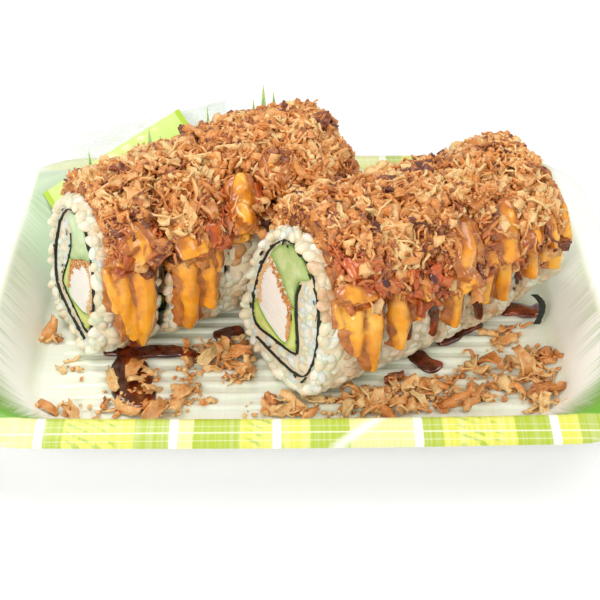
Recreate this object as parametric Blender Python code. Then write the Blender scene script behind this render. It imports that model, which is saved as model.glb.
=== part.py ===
# Two cut uramaki rolls with crispy onions, in their rimmed foam tray.
# Metres, +Z up, +X along the tray, +Y to its back. The origin is at the middle of the tray's underside.
import math
import random
from collections import namedtuple

import bmesh
import bpy
from mathutils import Vector
from mathutils.bvhtree import BVHTree

GAP = 0.0003                # clearance kept between pieces that touch
WELD = 0.000002             # points closer than this become one

# Tray: half sizes along X and Y, corner radius and height of each line round it
BASE = (0.0790, 0.0470, 0.017, 0.0)
WALL_FOOT = (0.0815, 0.0497, 0.018, 0.0012)
WALL_HEAD = (0.0937, 0.0672, 0.021, 0.0176)
RIM_UNDER = (0.1008, 0.0733, 0.0255, 0.0168)
RIM_EDGE = (0.1020, 0.0745, 0.0262, 0.0179)
RIM_OUTER = (0.1014, 0.0739, 0.0259, 0.0190)
RIM_INNER = (0.0925, 0.0660, 0.0200, 0.0200)
WALL_TOP = (0.0905, 0.0635, 0.0195, 0.0183)
WALL_LOW = (0.0812, 0.0497, 0.0175, 0.0034)
FLOOR = (0.0785, 0.0465, 0.0160, 0.0020)
SIDE_BOW = 0.0014           # how far the middle of each side stands out
CORNER_STEPS = 4
RIB_PITCH = 0.0052
RIB_COUNT = 17
RIB_WIDTH = 0.0030
RIB_TOP_WIDTH = 0.0016
RIB_HEIGHT = 0.0009
RIB_HALF = 0.0765
RIB_END_INSET = 0.0030

# Rolls
ROLL_YAW = math.radians(28.5)
ROLL_HALF_WIDTH = 0.0224
ROLL_UP = 0.0245
ROLL_DOWN = 0.0225
ROLL_BASE_Z = FLOOR[3] + RIB_HEIGHT + GAP + 0.0001
TOP_POWER = 2.15
BASE_POWER = 3.6
FILLING_SCALE = 1.03
OUTLINE_POINTS = 20
CUT_ROUNDING = 0.0014       # how far a slice's rim draws in at its cuts
CUT_BAND = 0.14             # share of a slice's length that the rounding takes
RICE_BUMP = 0.0006
NORI_THICKNESS = 0.0006

# The nori sheet seen at a cut, from its inner end once round the filling and on to its outer end.
# First value towards the front of the roll, second value up, from the roll's middle.
NORI_LINE = [
    (0.0047, 0.0110), (0.0039, 0.0070), (0.0056, 0.0015), (0.0094, -0.0070), (0.0072, -0.0096),
    (-0.0035, -0.0114), (-0.0125, -0.0124), (-0.0163, -0.0080), (-0.0169, -0.0015), (-0.0152, 0.0080),
    (-0.0102, 0.0158), (-0.0040, 0.0195), (0.0030, 0.0193), (0.0098, 0.0159), (0.0150, 0.0088),
    (0.0175, -0.0010), (0.0170, -0.0090), (0.0135, -0.0135), (0.0050, -0.0152), (-0.0040, -0.0158),
    (-0.0110, -0.0161),
]
NORI_LAP = 13               # the line's point that passes the inner end
CHICKEN = [
    (-0.0116, 0.0102), (-0.0070, 0.0083), (-0.0020, 0.0052), (0.0022, 0.0029), (0.0034, -0.0010),
    (0.0039, -0.0070), (0.0016, -0.0090), (-0.0069, -0.0080), (-0.0105, -0.0069), (-0.0136, -0.0052),
    (-0.0156, 0.0000), (-0.0149, 0.0054),
]
AVOCADO = [
    (-0.0157, -0.0055), (-0.0153, -0.0078), (-0.0121, -0.0115), (-0.0035, -0.0107), (0.0069, -0.0088),
    (0.0086, -0.0069), (0.0052, 0.0006), (0.0043, 0.0026), (0.0031, 0.0024), (0.0039, -0.0010),
    (0.0044, -0.0072), (0.0018, -0.0095), (-0.0070, -0.0085), (-0.0108, -0.0074), (-0.0134, -0.0060),
]
CUCUMBER = [
    (-0.0123, 0.0111), (-0.0095, 0.0152), (-0.0039, 0.0187), (0.0028, 0.0185), (0.0085, 0.0152),
    (0.0043, 0.0120), (0.0036, 0.0112), (0.0031, 0.0070), (0.0040, 0.0039), (0.0037, 0.0033),
    (0.0025, 0.0035), (-0.0017, 0.0058), (-0.0067, 0.0089), (-0.0113, 0.0108),
]

# A slice: its start and end along the roll, its girth, the drizzles down its front as (place along
# the slice, width, upper and lower angle from the top in degrees), and for its first and last cut
# the turn and the lean in degrees, the lift, and the shift towards the tray's front.
Spec = namedtuple("Spec", "start end girth drizzles turn lean lift shift")
# Each roll: the middle of its front cut on the floor, which side the nori laps on, and its slices.
ROLL_A = {
    "name": "a", "start": (-0.0690, -0.0060), "lap_side": -1,
    "slices": [
        Spec(0.0000, 0.0204, 1.01, [(0.36, 0.0060, 62, 118), (0.70, 0.0082, 50, 126)],
             turn=(-2.0, -6.0), lean=(9, 5), lift=(0, 0), shift=(0, 0.0012)),
        Spec(0.0228, 0.0416, 1.00, [(0.32, 0.0072, 58, 124), (0.70, 0.0056, 60, 116)],
             turn=(-1.5, -1.0), lean=(5, 4), lift=(0, 0), shift=(0.0012, 0.0008)),
        Spec(0.0424, 0.0588, 1.01, [(0.45, 0.0062, 34, 96)],
             turn=(-0.5, 0.0), lean=(4, 3), lift=(0, 0), shift=(0.0006, 0)),
        Spec(0.0596, 0.0752, 1.00, [(0.50, 0.0060, 40, 92)],
             turn=(0.0, 0.0), lean=(3, 2), lift=(0, 0), shift=(-0.0002, -0.0004)),
        Spec(0.0760, 0.0908, 1.01, [(0.55, 0.0066, 40, 100)],
             turn=(0.0, -1.0), lean=(2, 0), lift=(0, 0.0006), shift=(-0.0006, -0.0008)),
    ],
}
ROLL_B = {
    "name": "b", "start": (-0.0046, -0.0244), "lap_side": 1,
    "slices": [
        Spec(0.0000, 0.0204, 1.02, [(0.46, 0.0050, 66, 108), (0.80, 0.0072, 64, 122)],
             turn=(1.5, 0.5), lean=(12, 8), lift=(0, 0), shift=(0.0010, 0.0006)),
        Spec(0.0212, 0.0378, 1.00, [(0.34, 0.0052, 70, 112)],
             turn=(0.5, 0.0), lean=(8, 6), lift=(0, 0), shift=(0.0004, 0)),
        Spec(0.0386, 0.0534, 0.99, [(0.55, 0.0066, 66, 116)],
             turn=(0.0, 0.0), lean=(6, 4), lift=(0, 0), shift=(-0.0004, -0.0010)),
        Spec(0.0542, 0.0718, 0.97, [(0.24, 0.0056, 60, 110), (0.64, 0.0070, 60, 114)],
             turn=(0.0, 0.0), lean=(4, 0), lift=(0, 0.0008), shift=(-0.0014, -0.0016)),
        Spec(0.0728, 0.0900, 0.92, [(0.22, 0.0056, 58, 108), (0.76, 0.0060, 50, 104)],
             turn=(0.5, -1.0), lean=(-2, -11), lift=(0.0034, 0.0078), shift=(-0.0014, -0.0014)),
    ],
}
DRIZZLE_HEIGHT = 0.0019
DRIZZLE_SINK = 0.0016

# Crispy onions: a blanket over each roll, and flakes that stand out of it
ONION_STATIONS = 11
ONION_ARC_STEPS = 5
ONION_BACK = {"a": -52, "b": -44}    # hem angle behind each roll, degrees from the top
ONION_EDGE_THICKNESS = 0.0022
ONION_CLEARANCE = 0.0008
SETTLE_STEP = 0.0003
SETTLE_TRIES = 14
ONION_END_INSET = 0.0012
GRASS_CLEARANCE = 0.0008
RAY_START = 0.060
ONION_FLAKES = 32
ONION_ROWS = 8
FLAKE_LENGTH = (0.0090, 0.0150)
FLAKE_WIDTH = (0.0034, 0.0056)
FLAKE_THICKNESS = 0.0012
FLAKE_CURL = (0.0006, 0.0026)
ONION_HEM = {                # front hem angle along each roll, degrees from the top
    "a": (56, 60, 60, 59, 58, 58),
    "b": (48, 64, 76, 72, 68, 64),
}
ONION_RIDGE = {              # thickness on the ridge along each roll
    "a": (0.0050, 0.0052, 0.0054, 0.0066, 0.0092, 0.0084),
    "b": (0.0056, 0.0064, 0.0064, 0.0060, 0.0050, 0.0042),
}
GRASS_OFFSET = 0.0245       # the grass strip's distance behind roll A's middle

# Loose flakes on the floor: patches of (middle x, middle y, half length, half depth, count)
LOOSE_PATCHES = [
    (0.0440, -0.0330, 0.0290, 0.0070, 10),
    (-0.0060, -0.0430, 0.0120, 0.0020, 2),
    (-0.0400, -0.0390, 0.0240, 0.0050, 4),
    (-0.0240, -0.0210, 0.0070, 0.0040, 2),
    (-0.0760, -0.0090, 0.0010, 0.0010, 1),
]
LOOSE_SLOPE = 0.30
LOOSE_LIFT = 0.0004
LOOSE_TRIES = 12

# Plastic grass: tips of one tuft as (place along the strip, drop below the tallest)
TUFT = [(-0.0076, 0.0086), (-0.0038, 0.0042), (0.0, 0.0), (0.0036, 0.0040), (0.0072, 0.0090)]
TUFT_START = 0.0175
TUFT_PITCH = 0.0208
TUFT_COUNT = 4
GRASS_START = 0.0060
GRASS_END = 0.0838
GRASS_HEIGHT = 0.0470
GRASS_VALLEY = 0.0140
GRASS_FOOT_Z = 0.0026
GRASS_RISE = 0.112
GRASS_THICKNESS = 0.0003
BLADE_HALF = 0.0019

# Corners of the sachet and of the clear bag behind it, on the tray's back left corner
SACHET_TOP = ((-0.0880, 0.0505, 0.0184), (-0.0405, 0.0680, 0.0418))
SACHET_DOWN = (0.533, -0.667, -0.517)
SACHET_DEPTH = 0.0275
SACHET_BULGE = 0.0022
SACHET_EDGE = 0.0006
FILM_LOW = ((-0.0912, 0.0600, 0.0207), (-0.0225, 0.0702, 0.0207))
FILM_HIGH = ((-0.0928, 0.0620, 0.0307), (-0.0242, 0.0728, 0.0425))
FILM_THICKNESS = 0.0004

# A scrap of nori that hangs out by the last slice
SCRAP_TOP = (0.0768, 0.0030, 0.0090)
SCRAP_DROP = 0.0052
SCRAP_REACH = 0.0085

COLOURS = {
    "tray": ((0.80, 0.87, 0.66), 0.45),
    "rice": ((0.84, 0.79, 0.66), 0.55),
    "nori": ((0.012, 0.016, 0.012), 0.60),
    "chicken": ((0.86, 0.78, 0.66), 0.60),
    "avocado": ((0.50, 0.56, 0.13), 0.50),
    "cucumber": ((0.45, 0.62, 0.25), 0.35),
    "onions": ((0.60, 0.30, 0.10), 0.60),
    "grass": ((0.05, 0.55, 0.16), 0.35),
    "sachet": ((0.55, 0.75, 0.10), 0.35),
    "film": ((0.90, 0.92, 0.92), 0.15),
}


def clear_scene():
    for thing in list(bpy.data.objects):
        bpy.data.objects.remove(thing)


def make_collection(name):
    group = bpy.data.collections.new(name)
    bpy.context.scene.collection.children.link(group)
    return group


def make_material(kind):
    material = bpy.data.materials.get(kind)
    if material:
        return material
    colour, roughness = COLOURS[kind]
    material = bpy.data.materials.new(kind)
    material.use_nodes = True
    shader = material.node_tree.nodes["Principled BSDF"]
    shader.inputs["Base Color"].default_value = (*colour, 1.0)
    shader.inputs["Roughness"].default_value = roughness
    shader.inputs["Metallic"].default_value = 0.0
    return material


def face_outwards(bm):
    bmesh.ops.recalc_face_normals(bm, faces=bm.faces)
    if bm.calc_volume(signed=True) < 0:
        bmesh.ops.reverse_faces(bm, faces=bm.faces)


def add_object(name, bm, kind, group):
    """Makes an object of a closed mesh, in triangles that face outwards."""
    face_outwards(bm)
    bmesh.ops.triangulate(bm, faces=bm.faces)
    mesh = bpy.data.meshes.new(name)
    bm.to_mesh(mesh)
    bm.free()
    mesh.materials.append(make_material(kind))
    made = bpy.data.objects.new(name, mesh)
    group.objects.link(made)
    return made


def slab(steps_u, steps_v, place):
    """A grid made into a closed slab; place(u, v, layer) puts each point, layer 0 inside and 1 outside."""
    bm = bmesh.new()
    bmesh.ops.create_grid(bm, x_segments=steps_u, y_segments=steps_v, size=0.5)
    inner = list(bm.verts)
    grown = bmesh.ops.extrude_face_region(bm, geom=list(bm.faces), use_keep_orig=True)
    outer = [item for item in grown["geom"] if isinstance(item, bmesh.types.BMVert)]
    for layer, points in enumerate((inner, outer)):
        for point in points:
            point.co = place(point.co.x + 0.5, point.co.y + 0.5, layer)
    return bm


def prism(outlines):
    """A closed prism one metre deep on flat outlines: the first is the outside, any others are holes."""
    curve = bpy.data.curves.new("outline", "CURVE")
    curve.dimensions = "2D"
    curve.fill_mode = "BOTH"
    curve.extrude = 0.5
    for outline in outlines:
        spline = curve.splines.new("POLY")
        spline.points.add(len(outline) - 1)
        for point, (x, y) in zip(spline.points, outline):
            point.co = (x, y, 0.0, 1.0)
        spline.use_cyclic_u = True
    holder = bpy.data.objects.new("outline", curve)
    bpy.context.scene.collection.objects.link(holder)
    view = bpy.context.evaluated_depsgraph_get()
    mesh = bpy.data.meshes.new_from_object(holder.evaluated_get(view))
    bpy.data.objects.remove(holder)
    bpy.data.curves.remove(curve)
    bm = bmesh.new()
    bm.from_mesh(mesh)
    bpy.data.meshes.remove(mesh)
    bmesh.ops.remove_doubles(bm, verts=bm.verts, dist=WELD)
    for point in bm.verts:
        point.co.z += 0.5
    return bm


def keep_main_body(bm):
    """Drops loose scraps and the skins of sealed hollows, so that one closed body is left."""
    left = set(bm.faces)
    bodies = []
    while left:
        stack = [left.pop()]
        body = set(stack)
        while stack:
            for edge in stack.pop().edges:
                for face in edge.link_faces:
                    if face in left:
                        left.discard(face)
                        body.add(face)
                        stack.append(face)
        bodies.append(body)
    bodies.sort(key=len)
    scraps = [face for body in bodies[:-1] for face in body]
    bmesh.ops.delete(bm, geom=scraps, context="FACES")


def fuse(base, extras):
    """Joins the extra pieces to the base by one Boolean union and removes them."""
    group = make_collection("joined_pieces")
    for index, bm in enumerate(extras):
        piece = add_object(f"piece_{index}", bm, "onions", group)
        piece.hide_render = True
        piece.display_type = "WIRE"
    union = base.modifiers.new("Union", "BOOLEAN")
    union.operation = "UNION"
    union.solver = "MANIFOLD"
    union.operand_type = "COLLECTION"
    union.collection = group
    view = bpy.context.evaluated_depsgraph_get()
    joined = bpy.data.meshes.new_from_object(base.evaluated_get(view))
    base.modifiers.clear()
    bm = bmesh.new()
    bm.from_mesh(joined)
    bpy.data.meshes.remove(joined)
    keep_main_body(bm)
    for face in bm.faces:
        face.material_index = 0
    bm.to_mesh(base.data)
    bm.free()
    for piece in list(group.objects):
        bpy.data.objects.remove(piece)
    bpy.data.collections.remove(group)


def grown_tree(pieces, distance):
    """A search tree of the pieces, with every point moved outwards by the distance."""
    bm = bmesh.new()
    for piece in pieces:
        bm.from_mesh(piece.data)
    bm.normal_update()
    for point, normal in [(point, point.normal.copy()) for point in bm.verts]:
        point.co += normal * distance
    tree = BVHTree.FromBMesh(bm)
    bm.free()
    return tree


def faces_that_meet(bm, tree):
    bm.faces.ensure_lookup_table()
    return [bm.faces[index] for index in {pair[0] for pair in BVHTree.FromBMesh(bm).overlap(tree)}]


# Tray
def tray_line(size):
    """The closed line round the tray: rounded corners and sides that bow out a little."""
    half_x, half_y, radius, height = size
    points = []
    for corner in range(4):
        side_x = 1 if corner in (0, 3) else -1
        side_y = 1 if corner in (0, 1) else -1
        centre = Vector((side_x * (half_x - radius), side_y * (half_y - radius)))
        for step in range(CORNER_STEPS + 1):
            angle = math.pi / 2 * (corner + step / CORNER_STEPS)
            points.append(centre + Vector((math.cos(angle), math.sin(angle))) * radius)
        start = points[-1]
        turned = (corner + 1) % 4
        next_x = 1 if turned in (0, 3) else -1
        next_y = 1 if turned in (0, 1) else -1
        angle = math.pi / 2 * turned
        end = Vector((next_x * (half_x - radius), next_y * (half_y - radius)))
        end += Vector((math.cos(angle), math.sin(angle))) * radius
        for share in (0.25, 0.5, 0.75):
            points.append(start.lerp(end, share))
    line = []
    for point in points:
        bow_x = SIDE_BOW * (1 - (point.y / half_y) ** 2) * point.x / half_x
        bow_y = SIDE_BOW * (1 - (point.x / half_x) ** 2) * point.y / half_y
        line.append(Vector((point.x + bow_x - SIDE_BOW * point.x / half_x,
                            point.y + bow_y - SIDE_BOW * point.y / half_y, height)))
    return line


def rib(number):
    """One raised rib of the floor, shorter where the floor's corners round off."""
    y = (number - (RIB_COUNT - 1) / 2) * RIB_PITCH
    past = max(0.0, abs(y) - (FLOOR[1] - FLOOR[2]))
    half = min(RIB_HALF, FLOOR[0] - FLOOR[2] + math.sqrt(FLOOR[2] ** 2 - past ** 2) - RIB_END_INSET)

    def place(u, v, layer):
        width = RIB_TOP_WIDTH if layer else RIB_WIDTH
        length = half - 0.0008 if layer else half
        lift = RIB_HEIGHT if layer else -0.0008
        return Vector(((2 * u - 1) * length, y + (v - 0.5) * width, FLOOR[3] + lift))

    return slab(1, 1, place)


def random_flake(centre, along, outward, rng, twist):
    """A curled sliver of fried onion, of any of the sizes in the heap."""
    side = outward.cross(along).normalized()
    length = rng.uniform(*FLAKE_LENGTH)
    width = rng.uniform(*FLAKE_WIDTH)
    curl = rng.uniform(*FLAKE_CURL)
    turn = rng.uniform(-twist, twist)
    ends = (rng.uniform(0.35, 0.8), rng.uniform(0.9, 1.1), rng.uniform(0.3, 0.7))

    def place(u, v, layer):
        angle = turn * (u - 0.5)
        across = side * math.cos(angle) + outward * math.sin(angle)
        out = outward * math.cos(angle) - side * math.sin(angle)
        bend = curl * (1 - (2 * u - 1) ** 2)
        return (centre + along * (u - 0.5) * length + across * (v - 0.5) * width * ends[round(u * 2)]
                + outward * bend + out * (layer - 0.5) * FLAKE_THICKNESS)

    return slab(2, 1, place)


def loose_flakes(obstacles):
    """Flakes scattered on the ribs in the patches where the tray shows them, clear of the rolls."""
    rng = random.Random(11)
    rest = FLOOR[3] + RIB_HEIGHT
    found = []
    for mid_x, mid_y, half_x, half_y, count in LOOSE_PATCHES:
        for number in range(count):
            for _ in range(LOOSE_TRIES):
                share = (number + rng.uniform(0.2, 0.8)) / count
                x = mid_x + half_x * (2 * share - 1)
                y = mid_y + half_y * rng.uniform(-1, 1) + (x - mid_x) * LOOSE_SLOPE
                turn = rng.uniform(0, math.pi)
                along = Vector((math.cos(turn), math.sin(turn), rng.uniform(-0.06, 0.06))).normalized()
                flake = random_flake(Vector((x, y, rest + LOOSE_LIFT)), along, Vector((0, 0, 1)), rng, 0.5)
                if not faces_that_meet(flake, obstacles):
                    found.append(flake)
                    break
    return found


def split_floor(bm):
    """Cuts the floor midway between its ribs, so that each rib stands on a strip of its own."""
    for number in range(RIB_COUNT - 1):
        y = (number + 1 - RIB_COUNT / 2) * RIB_PITCH
        floor = [face for face in bm.faces if all(abs(p.co.z - FLOOR[3]) < WELD for p in face.verts)]
        parts = set(floor)
        for face in floor:
            parts.update(face.edges)
            parts.update(face.verts)
        bmesh.ops.bisect_plane(bm, geom=list(parts), dist=WELD, plane_co=(0, y, 0), plane_no=(0, 1, 0))


def make_tray(pieces, group):
    bm = bmesh.new()
    sizes = [BASE, WALL_FOOT, WALL_HEAD, RIM_UNDER, RIM_EDGE, RIM_OUTER, RIM_INNER, WALL_TOP, WALL_LOW, FLOOR]
    lines = [[bm.verts.new(point) for point in tray_line(size)] for size in sizes]
    for low, high in zip(lines, lines[1:]):
        for index in range(len(low)):
            after = (index + 1) % len(low)
            bm.faces.new((low[index], low[after], high[after], high[index]))
    bm.faces.new(lines[0])
    bm.faces.new(lines[-1])
    split_floor(bm)
    tray = add_object("tray", bm, "tray", group)
    fuse(tray, [rib(number) for number in range(RIB_COUNT)] + loose_flakes(grown_tree(pieces, GAP)))


# Rolls
def along_roll(yaw=0.0):
    angle = ROLL_YAW + yaw
    return Vector((math.cos(angle), math.sin(angle), 0))


def across_roll(yaw=0.0):
    """Level and square to the roll, towards the tray's front."""
    angle = ROLL_YAW + yaw
    return Vector((math.sin(angle), -math.cos(angle), 0))


class Cut:
    """One cut face of a slice: where its middle is and which way its plane lies."""

    def __init__(self, roll, place, turn, lean, lift, shift):
        turn = math.radians(turn)
        lean = math.radians(lean)
        start = Vector((*roll["start"], 0))
        self.side = across_roll(turn)
        self.up = along_roll(turn) * math.sin(lean) + Vector((0, 0, math.cos(lean)))
        height = ROLL_BASE_Z + ROLL_DOWN * math.cos(lean) + lift
        self.middle = start + along_roll() * place + across_roll() * shift + Vector((0, 0, height))

    def point(self, across, up):
        return self.middle + self.side * across + self.up * up


class Slice:
    """A slice between two cuts. Its points are given by depth (0 to 1), across and up."""

    def __init__(self, roll, number):
        spec = roll["slices"][number]
        self.name = f"{roll['name']}{number + 1}"
        self.girth = spec.girth
        self.drizzles = spec.drizzles
        drop = ROLL_DOWN * (1 - spec.girth)
        self.near, self.far = (
            Cut(roll, place, spec.turn[end], spec.lean[end], spec.lift[end] - drop, spec.shift[end])
            for end, place in enumerate((spec.start, spec.end)))
        self.lap_side = roll["lap_side"]
        self.rng = random.Random(ord(roll["name"]) * 100 + number)
        self.skew = self.rng.uniform(-1.6, 1.6)
        self.squash = self.rng.uniform(-0.025, 0.025)

    def point(self, depth, across, up):
        return self.near.point(across, up).lerp(self.far.point(across, up), depth)

    def warp(self, outline):
        """Fits a section outline to this slice: its lap side, girth and small unevenness."""
        found = []
        for across, up in outline:
            across = across * self.lap_side * self.girth * FILLING_SCALE * (1 + self.squash)
            up = up * self.girth * FILLING_SCALE * (1 - self.squash)
            found.append((across + self.skew * up * up, up))
        return found


def roll_outline(angle):
    """The roll's outside at an angle from the front, as across and up."""
    cos = math.cos(angle)
    sin = math.sin(angle)
    power = TOP_POWER if sin > 0 else BASE_POWER
    reach = ROLL_UP if sin > 0 else ROLL_DOWN
    across = ROLL_HALF_WIDTH * math.copysign(abs(cos) ** (2 / power), cos)
    up = reach * math.copysign(abs(sin) ** (2 / power), sin)
    return across, max(up, -ROLL_DOWN)


def offset_line(line, distance):
    """The line moved sideways, to its left where the distance is above 0."""
    found = []
    for index, (x, y) in enumerate(line):
        before = Vector(line[max(index - 1, 0)])
        after = Vector(line[min(index + 1, len(line) - 1)])
        along = (after - before).normalized()
        found.append((x - along.y * distance, y + along.x * distance))
    return found


def nori_outline():
    half = NORI_THICKNESS / 2
    return offset_line(NORI_LINE, half) + offset_line(NORI_LINE, -half)[::-1]


def filling_hole():
    """The rice's inner edge: round the nori's first turn, and along both sides of its lap."""
    room = NORI_THICKNESS / 2 + GAP
    longer = list(NORI_LINE)
    before = Vector(longer[-2])
    longer[-1] = tuple(Vector(longer[-1]) + (Vector(longer[-1]) - before).normalized() * GAP)
    return offset_line(longer, room) + offset_line(longer, -room)[:NORI_LAP - 1:-1]


def sweep(piece, bm):
    """Puts a prism's points between the slice's two cuts."""
    for point in bm.verts:
        point.co = piece.point(point.co.z, point.co.x, point.co.y)
    return bm


def drizzle(piece, depth, width, upper, lower):
    """A thick ribbon of sauce that runs down the front of a slice."""
    length = (piece.far.middle - piece.near.middle).length

    def place(u, v, layer):
        tilt = math.radians(lower + (upper - lower) * u)
        across, up = roll_outline(math.pi / 2 - tilt)
        out = Vector((across, up)).normalized()
        crown = 1 - (2 * v - 1) ** 2
        taper = 1 - 0.35 * (1 - u) ** 2
        swell = 0.85 + 0.15 * math.cos(9 * u + depth * 7)
        lift = DRIZZLE_HEIGHT * (0.25 + 0.75 * crown) * swell if layer else -DRIZZLE_SINK
        spread = (v - 0.5) * width * taper / length
        girth = piece.girth
        return piece.point(depth + spread, across * girth + out.x * lift, up * girth + out.y * lift)

    return slab(3, 2, place)


def on_line(point, line):
    return any((point.co.xy - Vector(spot)).length < WELD for spot in line)


def make_rice(piece, group):
    outline = [roll_outline(2 * math.pi * index / OUTLINE_POINTS) for index in range(OUTLINE_POINTS)]
    outside = [(across * piece.girth, up * piece.girth) for across, up in outline]
    bm = prism([outside, piece.warp(filling_hole())])
    long_edges = [edge for edge in bm.edges
                  if (edge.verts[0].co.xy - edge.verts[1].co.xy).length < WELD
                  and on_line(edge.verts[0], outside)]
    bmesh.ops.subdivide_edges(bm, edges=long_edges, cuts=2, use_grid_fill=True)
    base = -ROLL_DOWN * piece.girth + 0.0004
    for point in bm.verts:
        if not on_line(point, outside):
            continue
        flat = point.co.xy
        level = round(point.co.z * 3)
        depth = (0, CUT_BAND, 1 - CUT_BAND, 1)[level]
        at_cut = level in (0, 3)
        out = -CUT_ROUNDING if at_cut else piece.rng.uniform(-RICE_BUMP, RICE_BUMP)
        if flat.y < base:
            out = -CUT_ROUNDING / 3 if at_cut else 0.0
        point.co.xy = flat + flat.normalized() * out
        point.co.z = depth
    sweep(piece, bm)
    rice = add_object(f"{piece.name}_rice", bm, "rice", group)
    fuse(rice, [drizzle(piece, *ribbon) for ribbon in piece.drizzles])
    return rice


def make_slice(roll, number, group):
    piece = Slice(roll, number)
    rice = make_rice(piece, group)
    for kind, outline in (("nori", nori_outline()), ("chicken", CHICKEN), ("avocado", AVOCADO),
                          ("cucumber", CUCUMBER)):
        add_object(f"{piece.name}_{kind}", sweep(piece, prism([piece.warp(outline)])), kind, group)
    return rice


# Onions
class Skin:
    """A roll's outside as rays meet it, to lay the onions on."""

    def __init__(self, roll, pieces):
        self.tree = grown_tree(pieces, 0.0)
        self.start = Vector((*roll["start"], ROLL_BASE_Z + ROLL_DOWN))
        self.length = roll["slices"][-1].end

    def direction(self, tilt):
        return across_roll() * math.sin(tilt) + Vector((0, 0, math.cos(tilt)))

    def at(self, place, tilt, reach):
        return self.start + along_roll() * place + self.direction(tilt) * reach

    def reach(self, place, tilt):
        """Distance from the roll's middle line to the outermost rice near this place."""
        best = ROLL_HALF_WIDTH * 0.9
        for step_along in (-0.0022, 0.0, 0.0022):
            for step_round in (-8, -4, 0, 4, 8):
                way = self.direction(tilt + math.radians(step_round))
                origin = self.at(place + step_along, tilt + math.radians(step_round), RAY_START)
                hit = self.tree.ray_cast(origin, -way)
                if hit[0] is not None:
                    best = max(best, RAY_START - hit[3])
        return best

    def split(self, point):
        """A point's place along the roll, its angle from the top and its distance from the middle line."""
        offset = point - self.start
        place = offset.dot(along_roll())
        across = offset.dot(across_roll())
        return place, math.atan2(across, offset.z), math.hypot(across, offset.z)


def blend_along(values, share):
    """A value between the listed ones, at a share of their length."""
    place = min(max(share, 0.0), 1.0) * (len(values) - 1)
    low = min(int(place), len(values) - 2)
    return values[low] + (values[low + 1] - values[low]) * (place - low)


class Heap:
    """The shape of the onion heap on one roll. u runs along the roll and v from the back hem to the front."""

    def __init__(self, roll, pieces, obstacles):
        self.name = roll["name"]
        self.skin = Skin(roll, pieces)
        self.obstacles = grown_tree(obstacles, GAP)
        self.rng = random.Random(ord(self.name))
        self.ragged = [self.rng.uniform(-7, 7) for _ in range(ONION_STATIONS + 1)]
        self.levels = {}

    def spot(self, u, v):
        """Place along the roll and angle from the top."""
        ragged = self.ragged[round(u * ONION_STATIONS)]
        back = math.radians(ONION_BACK[self.name] + ragged / 2)
        front = math.radians(blend_along(ONION_HEM[self.name], u) + ragged)
        return ONION_END_INSET + u * (self.skin.length - 2 * ONION_END_INSET), back + (front - back) * v

    def thickness(self, u, v):
        crown = math.sin(math.pi * v) ** 0.7 if 0 < v < 1 else 0.0
        ends = min(1.0, 0.45 + 4 * min(u, 1 - u))
        ridge = blend_along(ONION_RIDGE[self.name], u)
        return ONION_EDGE_THICKNESS + (ridge - ONION_EDGE_THICKNESS) * crown * ends

    def clear_of_grass(self, point):
        over = (point - self.skin.start).dot(across_roll()) + GRASS_OFFSET - GRASS_CLEARANCE
        return point - across_roll() * over if over < 0 else point

    def place(self, u, v, layer):
        along, tilt = self.spot(u, v)
        if (u, v) not in self.levels:
            low = self.skin.reach(along, tilt) + ONION_CLEARANCE
            self.levels[(u, v)] = (low, self.thickness(u, v) * self.rng.uniform(0.75, 1.3))
        low, thick = self.levels[(u, v)]
        return self.clear_of_grass(self.skin.at(along, tilt, low + layer * thick))

    def nearest_column(self, point):
        along, tilt, _ = self.skin.split(point)

        def away(column):
            place, angle = self.spot(*column)
            return math.hypot(place - along, (angle - tilt) * ROLL_UP)

        return min(self.levels, key=away)

    def blanket(self):
        """The blanket, with its columns raised where it would meet another piece."""
        for _ in range(SETTLE_TRIES):
            bm = slab(ONION_STATIONS, ONION_ARC_STEPS, self.place)
            bmesh.ops.triangulate(bm, faces=bm.faces)
            met = faces_that_meet(bm, self.obstacles)
            if not met:
                break
            for column in {self.nearest_column(point.co) for face in met for point in face.verts}:
                low, thick = self.levels[column]
                self.levels[column] = (low + SETTLE_STEP, thick)
        return bm

    def settle(self, bm):
        """Raises a flake until it meets no other piece; one that finds no room is left out."""
        bmesh.ops.triangulate(bm, faces=bm.faces)
        for _ in range(SETTLE_TRIES):
            for point in bm.verts:
                point.co = self.clear_of_grass(point.co)
            if not faces_that_meet(bm, self.obstacles):
                return bm
            middle = sum((point.co for point in bm.verts), Vector()) / len(bm.verts)
            out = self.skin.direction(self.skin.split(middle)[1])
            for point in bm.verts:
                point.co += out * SETTLE_STEP
        return None

    def flake(self, u, v):
        along, tilt = self.spot(u, v)
        out = self.skin.direction(tilt)
        level = self.skin.reach(along, tilt) + ONION_CLEARANCE + self.thickness(u, v) * 0.85
        turn = self.rng.uniform(0, math.pi)
        lie = along_roll() * math.cos(turn) + out.cross(along_roll()) * math.sin(turn)
        lie = (lie + out * self.rng.uniform(-0.25, 0.25)).normalized()
        return self.settle(random_flake(self.skin.at(along, tilt, level), lie, out, self.rng, 1.2))


def make_onions(roll, pieces, obstacles, group):
    """The heap of crispy onions on one roll."""
    heap = Heap(roll, pieces, obstacles)
    core = add_object(f"onions_{roll['name']}", heap.blanket(), "onions", group)
    in_row = ONION_FLAKES // ONION_ROWS
    flakes = []
    for number in range(ONION_ROWS * in_row):
        row, column = divmod(number, in_row)
        u = (row + heap.rng.uniform(0.25, 0.75)) / ONION_ROWS
        v = (column + heap.rng.uniform(0.1, 0.9)) / in_row
        flakes.append(heap.flake(0.04 + 0.92 * u, v))
    fuse(core, [flake for flake in flakes if flake])
    return core


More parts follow.
